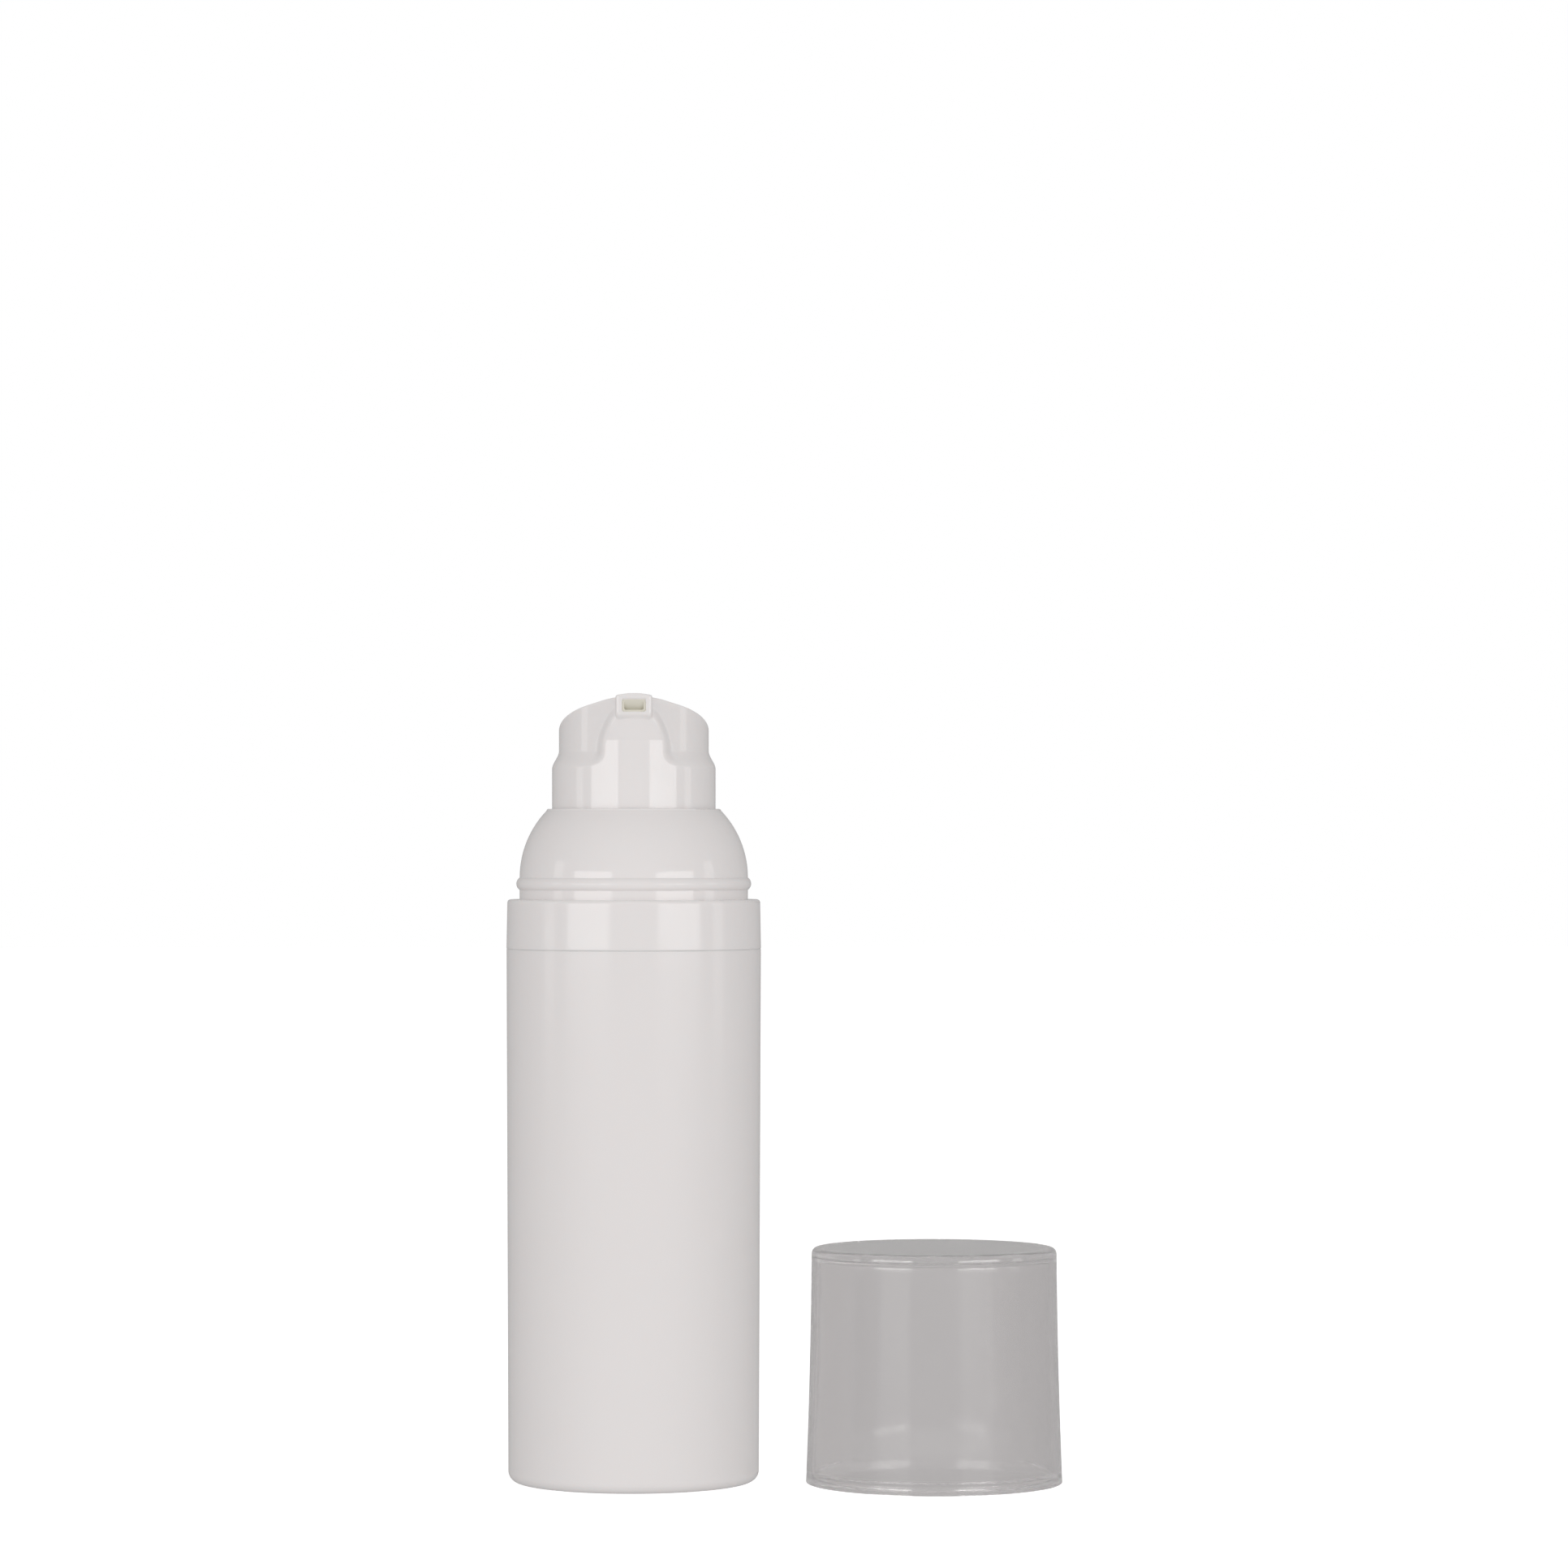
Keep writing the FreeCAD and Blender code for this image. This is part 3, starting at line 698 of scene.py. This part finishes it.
@dataclass
class ActuatorHead:
    """Finger head: guided skirt, recessed sides, sculpted front bib, spout and sloping roof.

    Heights are above the table and radii are from the bottle's axis.

    Attributes:
        recess: Depth of the recessed sides below the skirt.
        recess_blend: Width in which the recess ends beside the spout.
        nose_degrees: Angle from the spout where the sides turn straight towards it.
        step_mid: Middle height of the step from skirt to recess.
        step_run: Height over which the step turns.
        crease: Height where the bib starts to lean forward.
        lean_degrees: Lean of the bib above it.
        bib_half: Half width of the bib at its waist.
        bib_waist: Height of that waist.
        bib_bow: Radius by which the bib narrows to the spout.
        bib_foot: Radius by which it widens onto the step.
        bib_side: Half width of the slope at its side.
        spout_half: Half width of the spout.
        spout_low: Height of its lower edge.
        spout_round: Rounding of its upright edges.
        spout_blend: Width in which it joins the bib.
        spout_arch: Fall of its top from the middle to the corners.
        arch_across: Share of its half width where that fall starts.
        arch_along: Shares of its reach between which the fall comes in.
        face_cosine: Least cosine of an angle that meets its face.
        underside: Slope of its underside, out per height.
        side_fall: Slope of its sides, back per width.
        roof_mid: Height of the roof on the axis.
        roof_slope: Rise of the roof towards the spout.
        roof_level: Distance behind the axis where it starts to level out.
        roof_dish: Radius of that hollow.
        rim_round: Rounding of the roof's rim.
        mouth_half: Half width of the mouth.
        mouth_low: Its lower edge.
        mouth_high: Its upper edge.
        mouth_corner: Its corner radius.
        mouth_edge: Softness of its edge.
        mouth_steep: Steepness of its walls.
        mouth_slope: Fall of its ceiling as it goes in.
        mouth_reach: How far it goes in.
        mouth_lip: Depth behind the face, and below the roof, where the liner's colour starts.
        wall: Wall of the skirt.
        hollow: Corners of the ceiling, the spring seat, the socket and its bore.
        foot_lift: Height of the lowest row above the foot.
        level_to: Height where the level rows start to follow the roof's rim.
        face_columns: Columns across half of the spout's face.
        bib_edge: Half width where the bib's close columns end.
        flank_degrees: Angle where the flank's columns end.
        side_columns: Columns up to the bib's edge, the flank's end and the back.
        front_rows: Rows up the front.
        top_rows: Rows from there to the rim.
        rim_passes: Rounds of fitting the roof's rim to the side.
        roof_pole: Share of the way to the rim where the roof's first row lies.
        skirt_r: Outer radius of the skirt.
        foot: Height of the skirt's foot.
        spout_reach: Distance of the spout's face from the axis.
    """

    recess: float = 0.95
    recess_blend: float = 0.15
    nose_degrees: float = 37.0
    step_mid: float = 99.05
    step_run: float = 2.5
    crease: float = 101.65
    lean_degrees: float = 8.4
    bib_half: float = 4.65
    bib_waist: float = 100.1
    bib_bow: float = 6.4
    bib_foot: float = 1.9
    bib_side: float = 0.95
    spout_half: float = 2.6
    spout_low: float = 104.69
    spout_round: float = 0.6
    spout_blend: float = 0.2
    spout_arch: float = 0.22
    arch_across: float = 0.2
    arch_along: Pair = (0.8, 0.97)
    face_cosine: float = 0.3
    underside: float = 2.0
    side_fall: float = 5.0
    roof_mid: float = 103.3
    roof_slope: float = 0.395
    roof_level: float = 1.0
    roof_dish: float = 16.0
    rim_round: float = 0.3
    mouth_half: float = 1.625
    mouth_low: float = 105.45
    mouth_high: float = 107.32
    mouth_corner: float = 0.3
    mouth_edge: float = 0.03
    mouth_steep: float = 40.0
    mouth_slope: float = 1.4
    mouth_reach: float = 2.2
    mouth_lip: float = 0.15
    wall: float = 1.2
    hollow: tuple[Corner, ...] = (
        (6.15, 99.3, 0.3), (6.15, 97.24, 0.15), (4.25, 97.24, 0.3), (4.25, 91.64, 0.2),
        (2.65, 91.64, 0.15), (2.65, 98.44, 0.2), (0.1, 98.44, 0.0),
    )
    foot_lift: float = 0.2
    level_to: float = 100.4
    face_columns: Stops = ((1.1, 8), (1.66, 18), (1.95, 4), (2.62, 20), (2.8, 6))
    bib_edge: float = 5.4
    flank_degrees: float = 50.0
    side_columns: tuple[int, int, int] = (56, 16, 52)
    front_rows: Stops = (
        (97.4, 8), (101.3, 56), (102.0, 14), (104.4, 24), (104.8, 14),
        (105.4, 8), (105.85, 16), (106.9, 14), (107.34, 14),
    )
    top_rows: int = 6
    rim_passes: int = 12
    roof_pole: float = 0.02
    skirt_r: float = field(init=False)
    foot: float = field(init=False)
    spout_reach: float = field(init=False)

    def __post_init__(self) -> None:
        """Takes the skirt's radius and foot and the spout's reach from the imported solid."""
        low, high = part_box("actuator_head")
        self.skirt_r = high.x / MM
        self.foot = low.z / MM
        self.spout_reach = -low.y / MM

    def roof(self, x: Array, y: Array) -> Array:
        """Height of the roof: a slope that levels out in an arc behind the axis.

        Formula: roof_mid less the slope times y up to roof_level; beyond it the arc of radius roof_dish that
        leaves along the slope and ends level. At the spout it is lower by the arch, eased in across and
        forwards.

        Args:
            x: Distance to the side of the axis.
            y: Distance behind the axis.

        Returns:
            Heights.
        """
        turn = math.atan(self.roof_slope)
        flat_y = self.roof_level + self.roof_dish * math.sin(turn)
        turn_z = self.roof_mid - self.roof_slope * self.roof_level
        low_z = turn_z - self.roof_dish * (1 - math.cos(turn))
        along = np.clip(flat_y - y, 0.0, flat_y - self.roof_level)
        arc = low_z + self.roof_dish - np.sqrt(self.roof_dish**2 - along**2)
        level = np.where(y < self.roof_level, self.roof_mid - self.roof_slope * y, arc)
        to_corner = smooth_step(self.arch_across * self.spout_half, self.spout_half, np.abs(x))
        start, end = (share * self.spout_reach for share in self.arch_along)
        to_front = smooth_step(start, end, -y)
        return level - self.spout_arch * to_corner * to_front

    def bib_width(self, z: Array) -> Array:
        """Half width of the bib: a bow above its waist and a flare below it.

        Formula: above the waist, the half width less the height above it squared over twice the bow radius;
        below it, the half width plus what an arc of the foot radius has moved outwards.

        Args:
            z: Heights.

        Returns:
            Half widths.
        """
        above = np.maximum(z - self.bib_waist, 0.0)
        below = np.clip(self.bib_waist - z, 0.0, self.bib_foot)
        bow = above**2 / (2 * self.bib_bow)
        flare = self.bib_foot - np.sqrt(self.bib_foot**2 - below**2)
        return self.bib_half - bow + flare

    def side(self, angle: Array, z: Array) -> Array:
        """Radius of the outside at an angle from the spout and a height.

        Formula: the front radius, less the depth of the recess times one ease over the step's height and
        another across the bib's side; joined to the spout, a flat face that falls back in a quarter circle
        to steep sides and softly below its lower edge. The recess is a circle, and in front of the nose
        angle the straight line that leaves it there: its radius over the cosine of the angle still to go.

        Args:
            angle: Angles from the -Y direction.
            z: Heights.

        Returns:
            Radii.
        """
        ahead = np.maximum(np.cos(angle), LEAST_COSINE)
        lean = math.tan(math.radians(self.lean_degrees))
        front = self.skirt_r + lean * np.clip(z - self.crease, 0.0, self.spout_low - self.crease)
        past_step = smooth_step(self.step_mid - self.step_run / 2, self.step_mid + self.step_run / 2, z)
        beside = self.skirt_r * np.where(np.cos(angle) > 0, np.abs(np.sin(angle)), 1.0) - self.bib_width(z)
        past_bib = smooth_step(-self.bib_side, self.bib_side, beside)
        to_nose = np.maximum(math.radians(self.nose_degrees) - np.abs(angle), 0.0)
        recess_r = (self.skirt_r - self.recess) / np.cos(to_nose)
        depth = smooth_max(front - recess_r, np.zeros_like(front), self.recess_blend)
        body = front - depth * past_step * past_bib
        past_face = self.on_face(angle) - self.spout_half
        turn = np.clip(past_face + self.spout_round, 0.0, self.spout_round)
        corner = self.spout_round - np.sqrt(self.spout_round**2 - turn**2)
        fall = corner + self.side_fall * np.maximum(past_face, 0.0)
        below = smooth_max(self.spout_low - z, np.zeros_like(z), self.spout_round)
        spout = (self.spout_reach - fall) / ahead - self.underside * below
        return smooth_max(body, spout, self.spout_blend)

    def on_face(self, angle: Array) -> Array:
        """Distance to the side where an angle meets the plane of the spout's face.

        Formula: the angle's tangent times the spout's reach, and a far distance for angles that miss it.

        Args:
            angle: Angles from the -Y direction.

        Returns:
            Distances, the same on both sides.
        """
        ahead = np.maximum(np.cos(angle), self.face_cosine)
        tangent = np.abs(np.sin(angle)) / ahead
        return self.spout_reach * np.where(np.cos(angle) > self.face_cosine, tangent, 1.0 / self.face_cosine)

    def mouth_depth(self, angle: Array, z: Array) -> Array:
        """How far the surface is sunk into the mouth.

        Formula: with d the distance inside the mouth's rounded rectangle, the least of the steepness times
        d squared over (d + the softness of its edge), the distance to the falling ceiling and the reach.

        Args:
            angle: Angles from the -Y direction.
            z: Heights.

        Returns:
            Depths behind the spout's face, zero outside the mouth.
        """
        x = self.on_face(angle)
        half_h = (self.mouth_high - self.mouth_low) / 2
        out_x = x - self.mouth_half + self.mouth_corner
        out_z = np.abs(z - self.mouth_low - half_h) - half_h + self.mouth_corner
        outside = np.hypot(np.maximum(out_x, 0.0), np.maximum(out_z, 0.0))
        inside = np.maximum(self.mouth_corner - outside - np.minimum(np.maximum(out_x, out_z), 0.0), 0.0)
        to_ceiling = np.maximum(self.mouth_high - z, 0.0) / self.mouth_slope
        to_wall = self.mouth_steep * inside**2 / (inside + self.mouth_edge)
        return np.minimum(np.minimum(to_wall, to_ceiling), self.mouth_reach)

    def angles(self) -> Array:
        """Columns round the head, close together across the spout and the sides of the bib.

        Returns:
            Angles from the -Y direction, all the way round.
        """
        front = np.arctan2(spaced(0.0, self.face_columns), self.spout_reach)
        ends = (math.asin(self.bib_edge / self.skirt_r), math.radians(self.flank_degrees), math.pi)
        beside = spaced(front[-1], list(zip(ends, self.side_columns)))
        half = np.concatenate([front, beside[1:]])
        return np.concatenate([-half[-2:0:-1], half])

    def heights(self) -> Array:
        """Rows up the front of the spout, close together at the step, the crease and the mouth."""
        top = self.roof_mid + self.roof_slope * self.spout_reach - self.rim_round
        return spaced(self.foot + self.foot_lift, [*self.front_rows, (top, self.top_rows)])

    def rings(self) -> Array:
        """Surface of the closed head.

        Returns:
            Rings from the middle of the roof, over the outside and up the inside to the end of the bore.
        """
        angle = self.angles()
        straight = self.heights()
        rim_r = np.full_like(angle, self.skirt_r)
        for _ in range(self.rim_passes):
            rim_z = self.roof(rim_r * np.sin(angle), -rim_r * np.cos(angle))
            rim_r = self.side(angle, rim_z)
        level = self.level_to
        share = np.clip((straight - level) / (straight[-1] - level), 0.0, 1.0)[:, None]
        z = np.where(share > 0, level + share * (rim_z - self.rim_round - level), straight[:, None])
        radius = self.side(angle, z) - self.mouth_depth(angle, z) / np.maximum(np.cos(angle), LEAST_COSINE)
        outside = polar(radius, angle, z)[::-1]
        roof_r = np.linspace(self.roof_pole, 1.0, num=26)[:, None] * (rim_r - self.rim_round)
        roof = polar(roof_r, angle, self.roof(roof_r * np.sin(angle), -roof_r * np.cos(angle)))
        rim = fillet(roof[-1], polar(rim_r, angle, rim_z), outside[0], steps=6)
        under = self.inside()
        return np.concatenate([roof, rim, outside, polar(under[:, :1], angle, under[:, 1:])])

    def inside(self) -> Array:
        """Outline of the underside: skirt edge, inner wall, ceiling, spring seat, socket and its bore.

        Returns:
            Radius and height of each point.
        """
        inner_r = self.skirt_r - self.wall
        return rounded_profile([
            (self.skirt_r, self.foot, 0.15),
            (inner_r, self.foot, 0.15),
            (inner_r, self.step_mid - self.step_run / 2, 0.4),
            (inner_r - self.recess, self.hollow[0][1], 0.5),
            *self.hollow,
        ], steps=4)

    def build(self) -> None:
        """Adds the head in place of its solid, with its mouth in the liner's colour."""
        liner = LINER.material()
        piece = RingSurface("finger_head", self.rings()).build([WHITE_GLOSS.material(), liner])
        faces = piece.data.polygons
        centres = np.empty(len(faces) * 3)
        faces.foreach_get("center", centres)
        x, y, z = centres.reshape(-1, 3).T / MM
        sunk = (np.abs(x) < self.mouth_half) & (y > -self.spout_reach + self.mouth_lip)
        sunk &= (z > self.mouth_low) & (z < self.roof(x, y) - self.mouth_lip)
        faces.foreach_set("material_index", sunk.astype(np.int32))
        place_piece(piece, Body.HEAD, WHITE_GLOSS, "actuator_head")
        dress_node("spout_liner", liner)


@dataclass
class OverCap:
    """Loose translucent cap, standing on its rim.

    Attributes:
        mid_r: Outer radius half way up.
        top_r: Outer radius at the top edge.
        wall: Wall thickness.
        top: Thickness of the top.
        edge: Rounding of the top edge.
        rib_mid: Height of the snap rib above the rim.
        rib_half: Half height of the rib.
        rib_proud: How far it stands in from the wall.
        rim_round: Rounding of the rim's outer edge.
        lip_round: Rounding of the rim's inner edge.
        inner_round: Rounding between the inner wall and the top.
        pole_r: Radius of the rings at the axis.
        rib_zone: Height of the close rows at the rib.
        columns: Points round the cap.
    """

    mid_r: float = 17.05
    top_r: float = 16.8
    wall: float = 1.1
    top: float = 1.2
    edge: float = 1.0
    rib_mid: float = 1.05
    rib_half: float = 0.7
    rib_proud: float = 0.45
    rim_round: float = 0.15
    lip_round: float = 0.1
    inner_round: float = 0.8
    pole_r: float = 0.2
    rib_zone: float = 2.4
    columns: int = 240

    def flare(self, share: Array, rim_r: float) -> Array:
        """Outer radius up the side: the parabola through the rim, the middle and the top.

        Args:
            share: Shares of the height.
            rim_r: Outer radius at the rim.

        Returns:
            Radii.
        """
        bend = 2 * (rim_r + self.top_r - 2 * self.mid_r)
        return rim_r + (self.top_r - rim_r - bend) * share + bend * share**2

    def profile(self, rim_r: float, height: float) -> Array:
        """Outline from the middle of the top, down the outside, up the inside and back to the axis.

        Args:
            rim_r: Outer radius at the rim.
            height: Height of the cap.

        Returns:
            Radius and height of each point.
        """
        side_z = np.linspace(self.rim_round, height - self.edge, num=33)
        side = np.stack([self.flare(side_z / height, rim_r), side_z], axis=1)
        crown = np.linspace((self.pole_r, height), (self.top_r - self.edge, height), num=12)
        corner = np.array([[self.flare(np.array([1.0]), rim_r)[0], height]])
        top_edge = fillet(crown[-1:], corner, side[-1:], steps=8)[:, 0]
        lip = np.array([[rim_r - self.rim_round, 0.0], [rim_r - self.wall + self.lip_round, 0.0]])
        rim_edge = fillet(side[:1], np.array([[rim_r, 0.0]]), lip[:1], steps=3)[:, 0]
        roof_z = height - self.top
        rise = roof_z - self.inner_round - self.lip_round
        in_z = self.lip_round + spaced(0.0, [(self.rib_zone, 32), (rise, 30)])
        rib = self.rib_proud * np.maximum(1 - ((in_z - self.rib_mid) / self.rib_half) ** 2, 0.0)
        in_r = self.flare(in_z / height, rim_r) - self.wall - rib
        inner = np.stack([in_r, in_z], axis=1)
        roof = np.linspace((in_r[-1] - self.inner_round, roof_z), (self.pole_r, roof_z), num=10)
        inner_edge = fillet(inner[-1:], np.array([[in_r[-1], roof_z]]), roof[:1], steps=6)[:, 0]
        return np.concatenate([crown, top_edge, side[::-1], rim_edge, lip, inner, inner_edge, roof])

    def build(self) -> Object:
        """Adds the cap in place of its solid.

        Returns:
            The cap.
        """
        low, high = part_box("over_cap")
        middle = (low + high) / 2 / MM
        angle = np.linspace(0.0, 2 * np.pi, self.columns, endpoint=False)
        outline = self.profile((high.x - low.x) / MM / 2, high.z / MM)
        rings = polar(outline[:, :1], angle, outline[:, 1:]) + np.array([middle.x, middle.y, 0.0])
        piece = RingSurface("clear_cap", rings).build([CAP_CLEAR.material()])
        piece.visible_shadow = False
        piece.visible_diffuse = False
        place_piece(piece, Body.CAP, CAP_CLEAR, "over_cap")
        return piece


# Studio


@dataclass(frozen=True)
class SoftBox:
    """Rectangular light that stands upright on a circle round the bottle, alike on both sides.

    Attributes:
        name: Name of the light, without its side.
        azimuth: Directions of its two upright edges, in degrees from the spout to the side.
        height: Heights of its lower and upper edge, in millimetres.
        radiance: Brightness of its face.
        for_cap: Whether the light is kept to the loose cap.
        colour: Tint of its light.
        away: Distance from the bottle's axis, in millimetres.
    """

    name: str
    azimuth: Pair
    height: Pair
    radiance: float
    for_cap: bool = False
    colour: Colour = (1.0, 0.985, 0.975)
    away: float = 1200.0

    def build(self, side: Side, cap: Object) -> None:
        """Adds the light on one side, facing the axis and hidden from the camera.

        Args:
            side: Side of the bottle.
            cap: Loose cap.
        """
        name = f"{self.name}_{side.name.lower()}"
        middle = side.value * math.radians(sum(self.azimuth) / 2)
        spread = math.radians(abs(self.azimuth[1] - self.azimuth[0]) / 2)
        lamp = bpy.data.lights.new(name, "AREA")
        lamp.shape = "RECTANGLE"
        lamp.size = 2 * self.away * math.tan(spread) * MM
        lamp.size_y = (self.height[1] - self.height[0]) * MM
        lamp.energy = self.radiance * math.pi * lamp.size * lamp.size_y
        lamp.color = self.colour
        holder = bpy.data.objects.new(name, lamp)
        holder.location = Vector((math.sin(middle), -math.cos(middle), 0)) * self.away * MM
        holder.rotation_euler = (-holder.location).to_track_quat("-Z", "Y").to_euler()
        holder.location.z = sum(self.height) / 2 * MM
        holder.visible_camera = False
        bpy.context.scene.collection.objects.link(holder)
        if self.for_cap:
            lit = bpy.data.collections.new(f"{name}_only")
            lit.objects.link(cap)
            holder.light_linking.receiver_collection = lit


@dataclass
class Studio:
    """Camera, surrounding light, softboxes and floor.

    Attributes:
        focal_px: Focal length in pixels of the photograph.
        scale_px: Pixels per millimetre at the bottle's axis.
        axis_px: Column of the bottle's axis in it.
        horizon_px: Row of the horizon in it.
        eye: Height of the camera above the table.
        front: Brightness of the room in front of the bottle.
        focus: Power by which it falls off towards the back.
        back: Brightness behind the bottle.
        room_tint: Tint of the room's light.
        backdrop: Brightness of what is seen through the cap.
        backdrop_tint: Its tint.
        floor_glow: Light of the floor's own, which keeps it pale.
        floor_side: Side of the floor, in metres.
        bounces: Turns that light may take inside the cap's walls.
        lights: Softboxes on each side.
    """

    focal_px: float = 7000.0
    scale_px: float = 8.951
    axis_px: float = 781.0
    horizon_px: float = 1040.0
    eye: float = 87.5
    front: float = 0.99
    focus: float = 2.2
    back: float = 0.44
    room_tint: Colour = (1.0, 0.985, 0.98)
    backdrop: float = 0.385
    backdrop_tint: Colour = (1.0, 0.96, 0.96)
    floor_glow: float = 0.6
    floor_side: float = 8.0
    bounces: int = 32
    lights: tuple[SoftBox, ...] = (
        SoftBox("key", azimuth=(22.0, 62.0), height=(57.0, 227.0), radiance=2.6),
        SoftBox("strip", azimuth=(76.0, 88.0), height=(20.0, 400.0), radiance=1.1),
        SoftBox("low", azimuth=(24.0, 54.0), height=(-160.0, 57.0), radiance=0.25, for_cap=True),
        SoftBox("high", azimuth=(22.0, 62.0), height=(227.0, 380.0), radiance=9.0, for_cap=True),
    )

    def build(self, cap: Object) -> None:
        """Adds everything round the object.

        Args:
            cap: Loose cap, which has low and high lights of its own.
        """
        self.add_camera()
        self.add_room_light()
        self.add_floor()
        for side in Side:
            for light in self.lights:
                light.build(side, cap)
        view = bpy.context.scene.view_settings
        view.view_transform = "Standard"
        view.look = "None"
        paths = bpy.context.scene.cycles
        paths.max_bounces = self.bounces
        paths.glossy_bounces = self.bounces
        paths.transmission_bounces = self.bounces

    def add_camera(self) -> None:
        """Sets up the camera in front of the spout, tipped up a little and turned towards the cap."""
        middle = PHOTO_SIDE / 2
        lens = bpy.data.cameras.new("photo_camera")
        lens.sensor_width = 36.0
        lens.lens = lens.sensor_width * self.focal_px / PHOTO_SIDE
        lens.clip_start = 0.05
        holder = bpy.data.objects.new("photo_camera", lens)
        away = self.focal_px / self.scale_px
        holder.location = Vector((0.0, -away, self.eye)) * MM
        tip = math.atan((self.horizon_px - middle) / self.focal_px)
        turn = math.atan((middle - self.axis_px) / self.focal_px)
        holder.rotation_euler = (math.pi / 2 + tip, 0.0, -turn)
        bpy.context.scene.collection.objects.link(holder)
        bpy.context.scene.camera = holder

    def add_room_light(self) -> None:
        """Surrounds the object with soft light, brighter in front than behind.

        What shows through the cap is an even ground of its own, and the camera's ground is white.
        """
        world = bpy.data.worlds.new("studio_room")
        bpy.context.scene.world = world
        world.use_nodes = True
        world.node_tree.nodes.clear()
        bench = NodeBench(world.node_tree)
        way = bench.add("ShaderNodeTexCoord").outputs["Generated"]
        ahead = bench.ramp(bench.add("ShaderNodeSeparateXYZ", {0: way}).outputs["Y"], (1.0, -1.0))
        around = bench.ramp(bench.math("POWER", ahead, self.focus), target=(self.back, self.front))
        grounds = []
        tints = ((self.room_tint, around), (self.backdrop_tint, self.backdrop), ((1.0, 1.0, 1.0), 1.0))
        for tint, strength in tints:
            inputs = {"Color": (*tint, 1.0), "Strength": strength}
            grounds.append(bench.add("ShaderNodeBackground", inputs).outputs[0])
        path = bench.add("ShaderNodeLightPath").outputs
        through = {0: path["Is Transmission Ray"], 1: grounds[0], 2: grounds[1]}
        lit = bench.add("ShaderNodeMixShader", through).outputs[0]
        straight = {0: path["Is Camera Ray"], 1: lit, 2: grounds[2]}
        seen = bench.add("ShaderNodeMixShader", straight).outputs[0]
        bench.add("ShaderNodeOutputWorld", {"Surface": seen})

    def add_floor(self) -> None:
        """Adds the pale floor, which takes shadows and is left out of the light on the bottle."""
        half = self.floor_side / 2
        corners = [(-half, -half, 0.0), (half, -half, 0.0), (half, half, 0.0), (-half, half, 0.0)]
        mesh = bpy.data.meshes.new("studio_floor")
        mesh.from_pydata(corners, [], [(0, 1, 2, 3)])
        paint = bpy.data.materials.new("pale_floor")
        paint.use_nodes = True
        paint.node_tree.nodes.clear()
        bench = NodeBench(paint.node_tree)
        place = bench.add("ShaderNodeTexCoord").outputs["Object"]
        cloud = bench.add("ShaderNodeTexNoise", {"Vector": place, "Scale": 6.0}).outputs["Fac"]
        shader = bench.add("ShaderNodeBsdfPrincipled", {
            "Base Color": bench.mix(cloud, (0.9, 0.9, 0.9), (0.88, 0.88, 0.88)),
            "Roughness": 0.9,
            "Emission Color": (1.0, 1.0, 1.0, 1.0),
            "Emission Strength": self.floor_glow,
        })
        bench.add("ShaderNodeOutputMaterial", {"Surface": shader.outputs["BSDF"]})
        mesh.materials.append(paint)
        floor = bpy.data.objects.new("studio_floor", mesh)
        floor.visible_diffuse = False
        floor.visible_glossy = False
        floor.visible_transmission = False
        bpy.context.scene.collection.objects.link(floor)


def main() -> None:
    """Builds the finishes, the sub-assemblies and the studio in order."""
    logging.basicConfig(level=logging.INFO, format="%(name)s: %(message)s")
    build_skin_group()
    build_scuff_group()
    Reservoir().dress()
    PumpEngine().dress()
    ActuatorHead().build()
    cap = OverCap().build()
    Studio().build(cap)


if __name__ == "__main__":
    main()
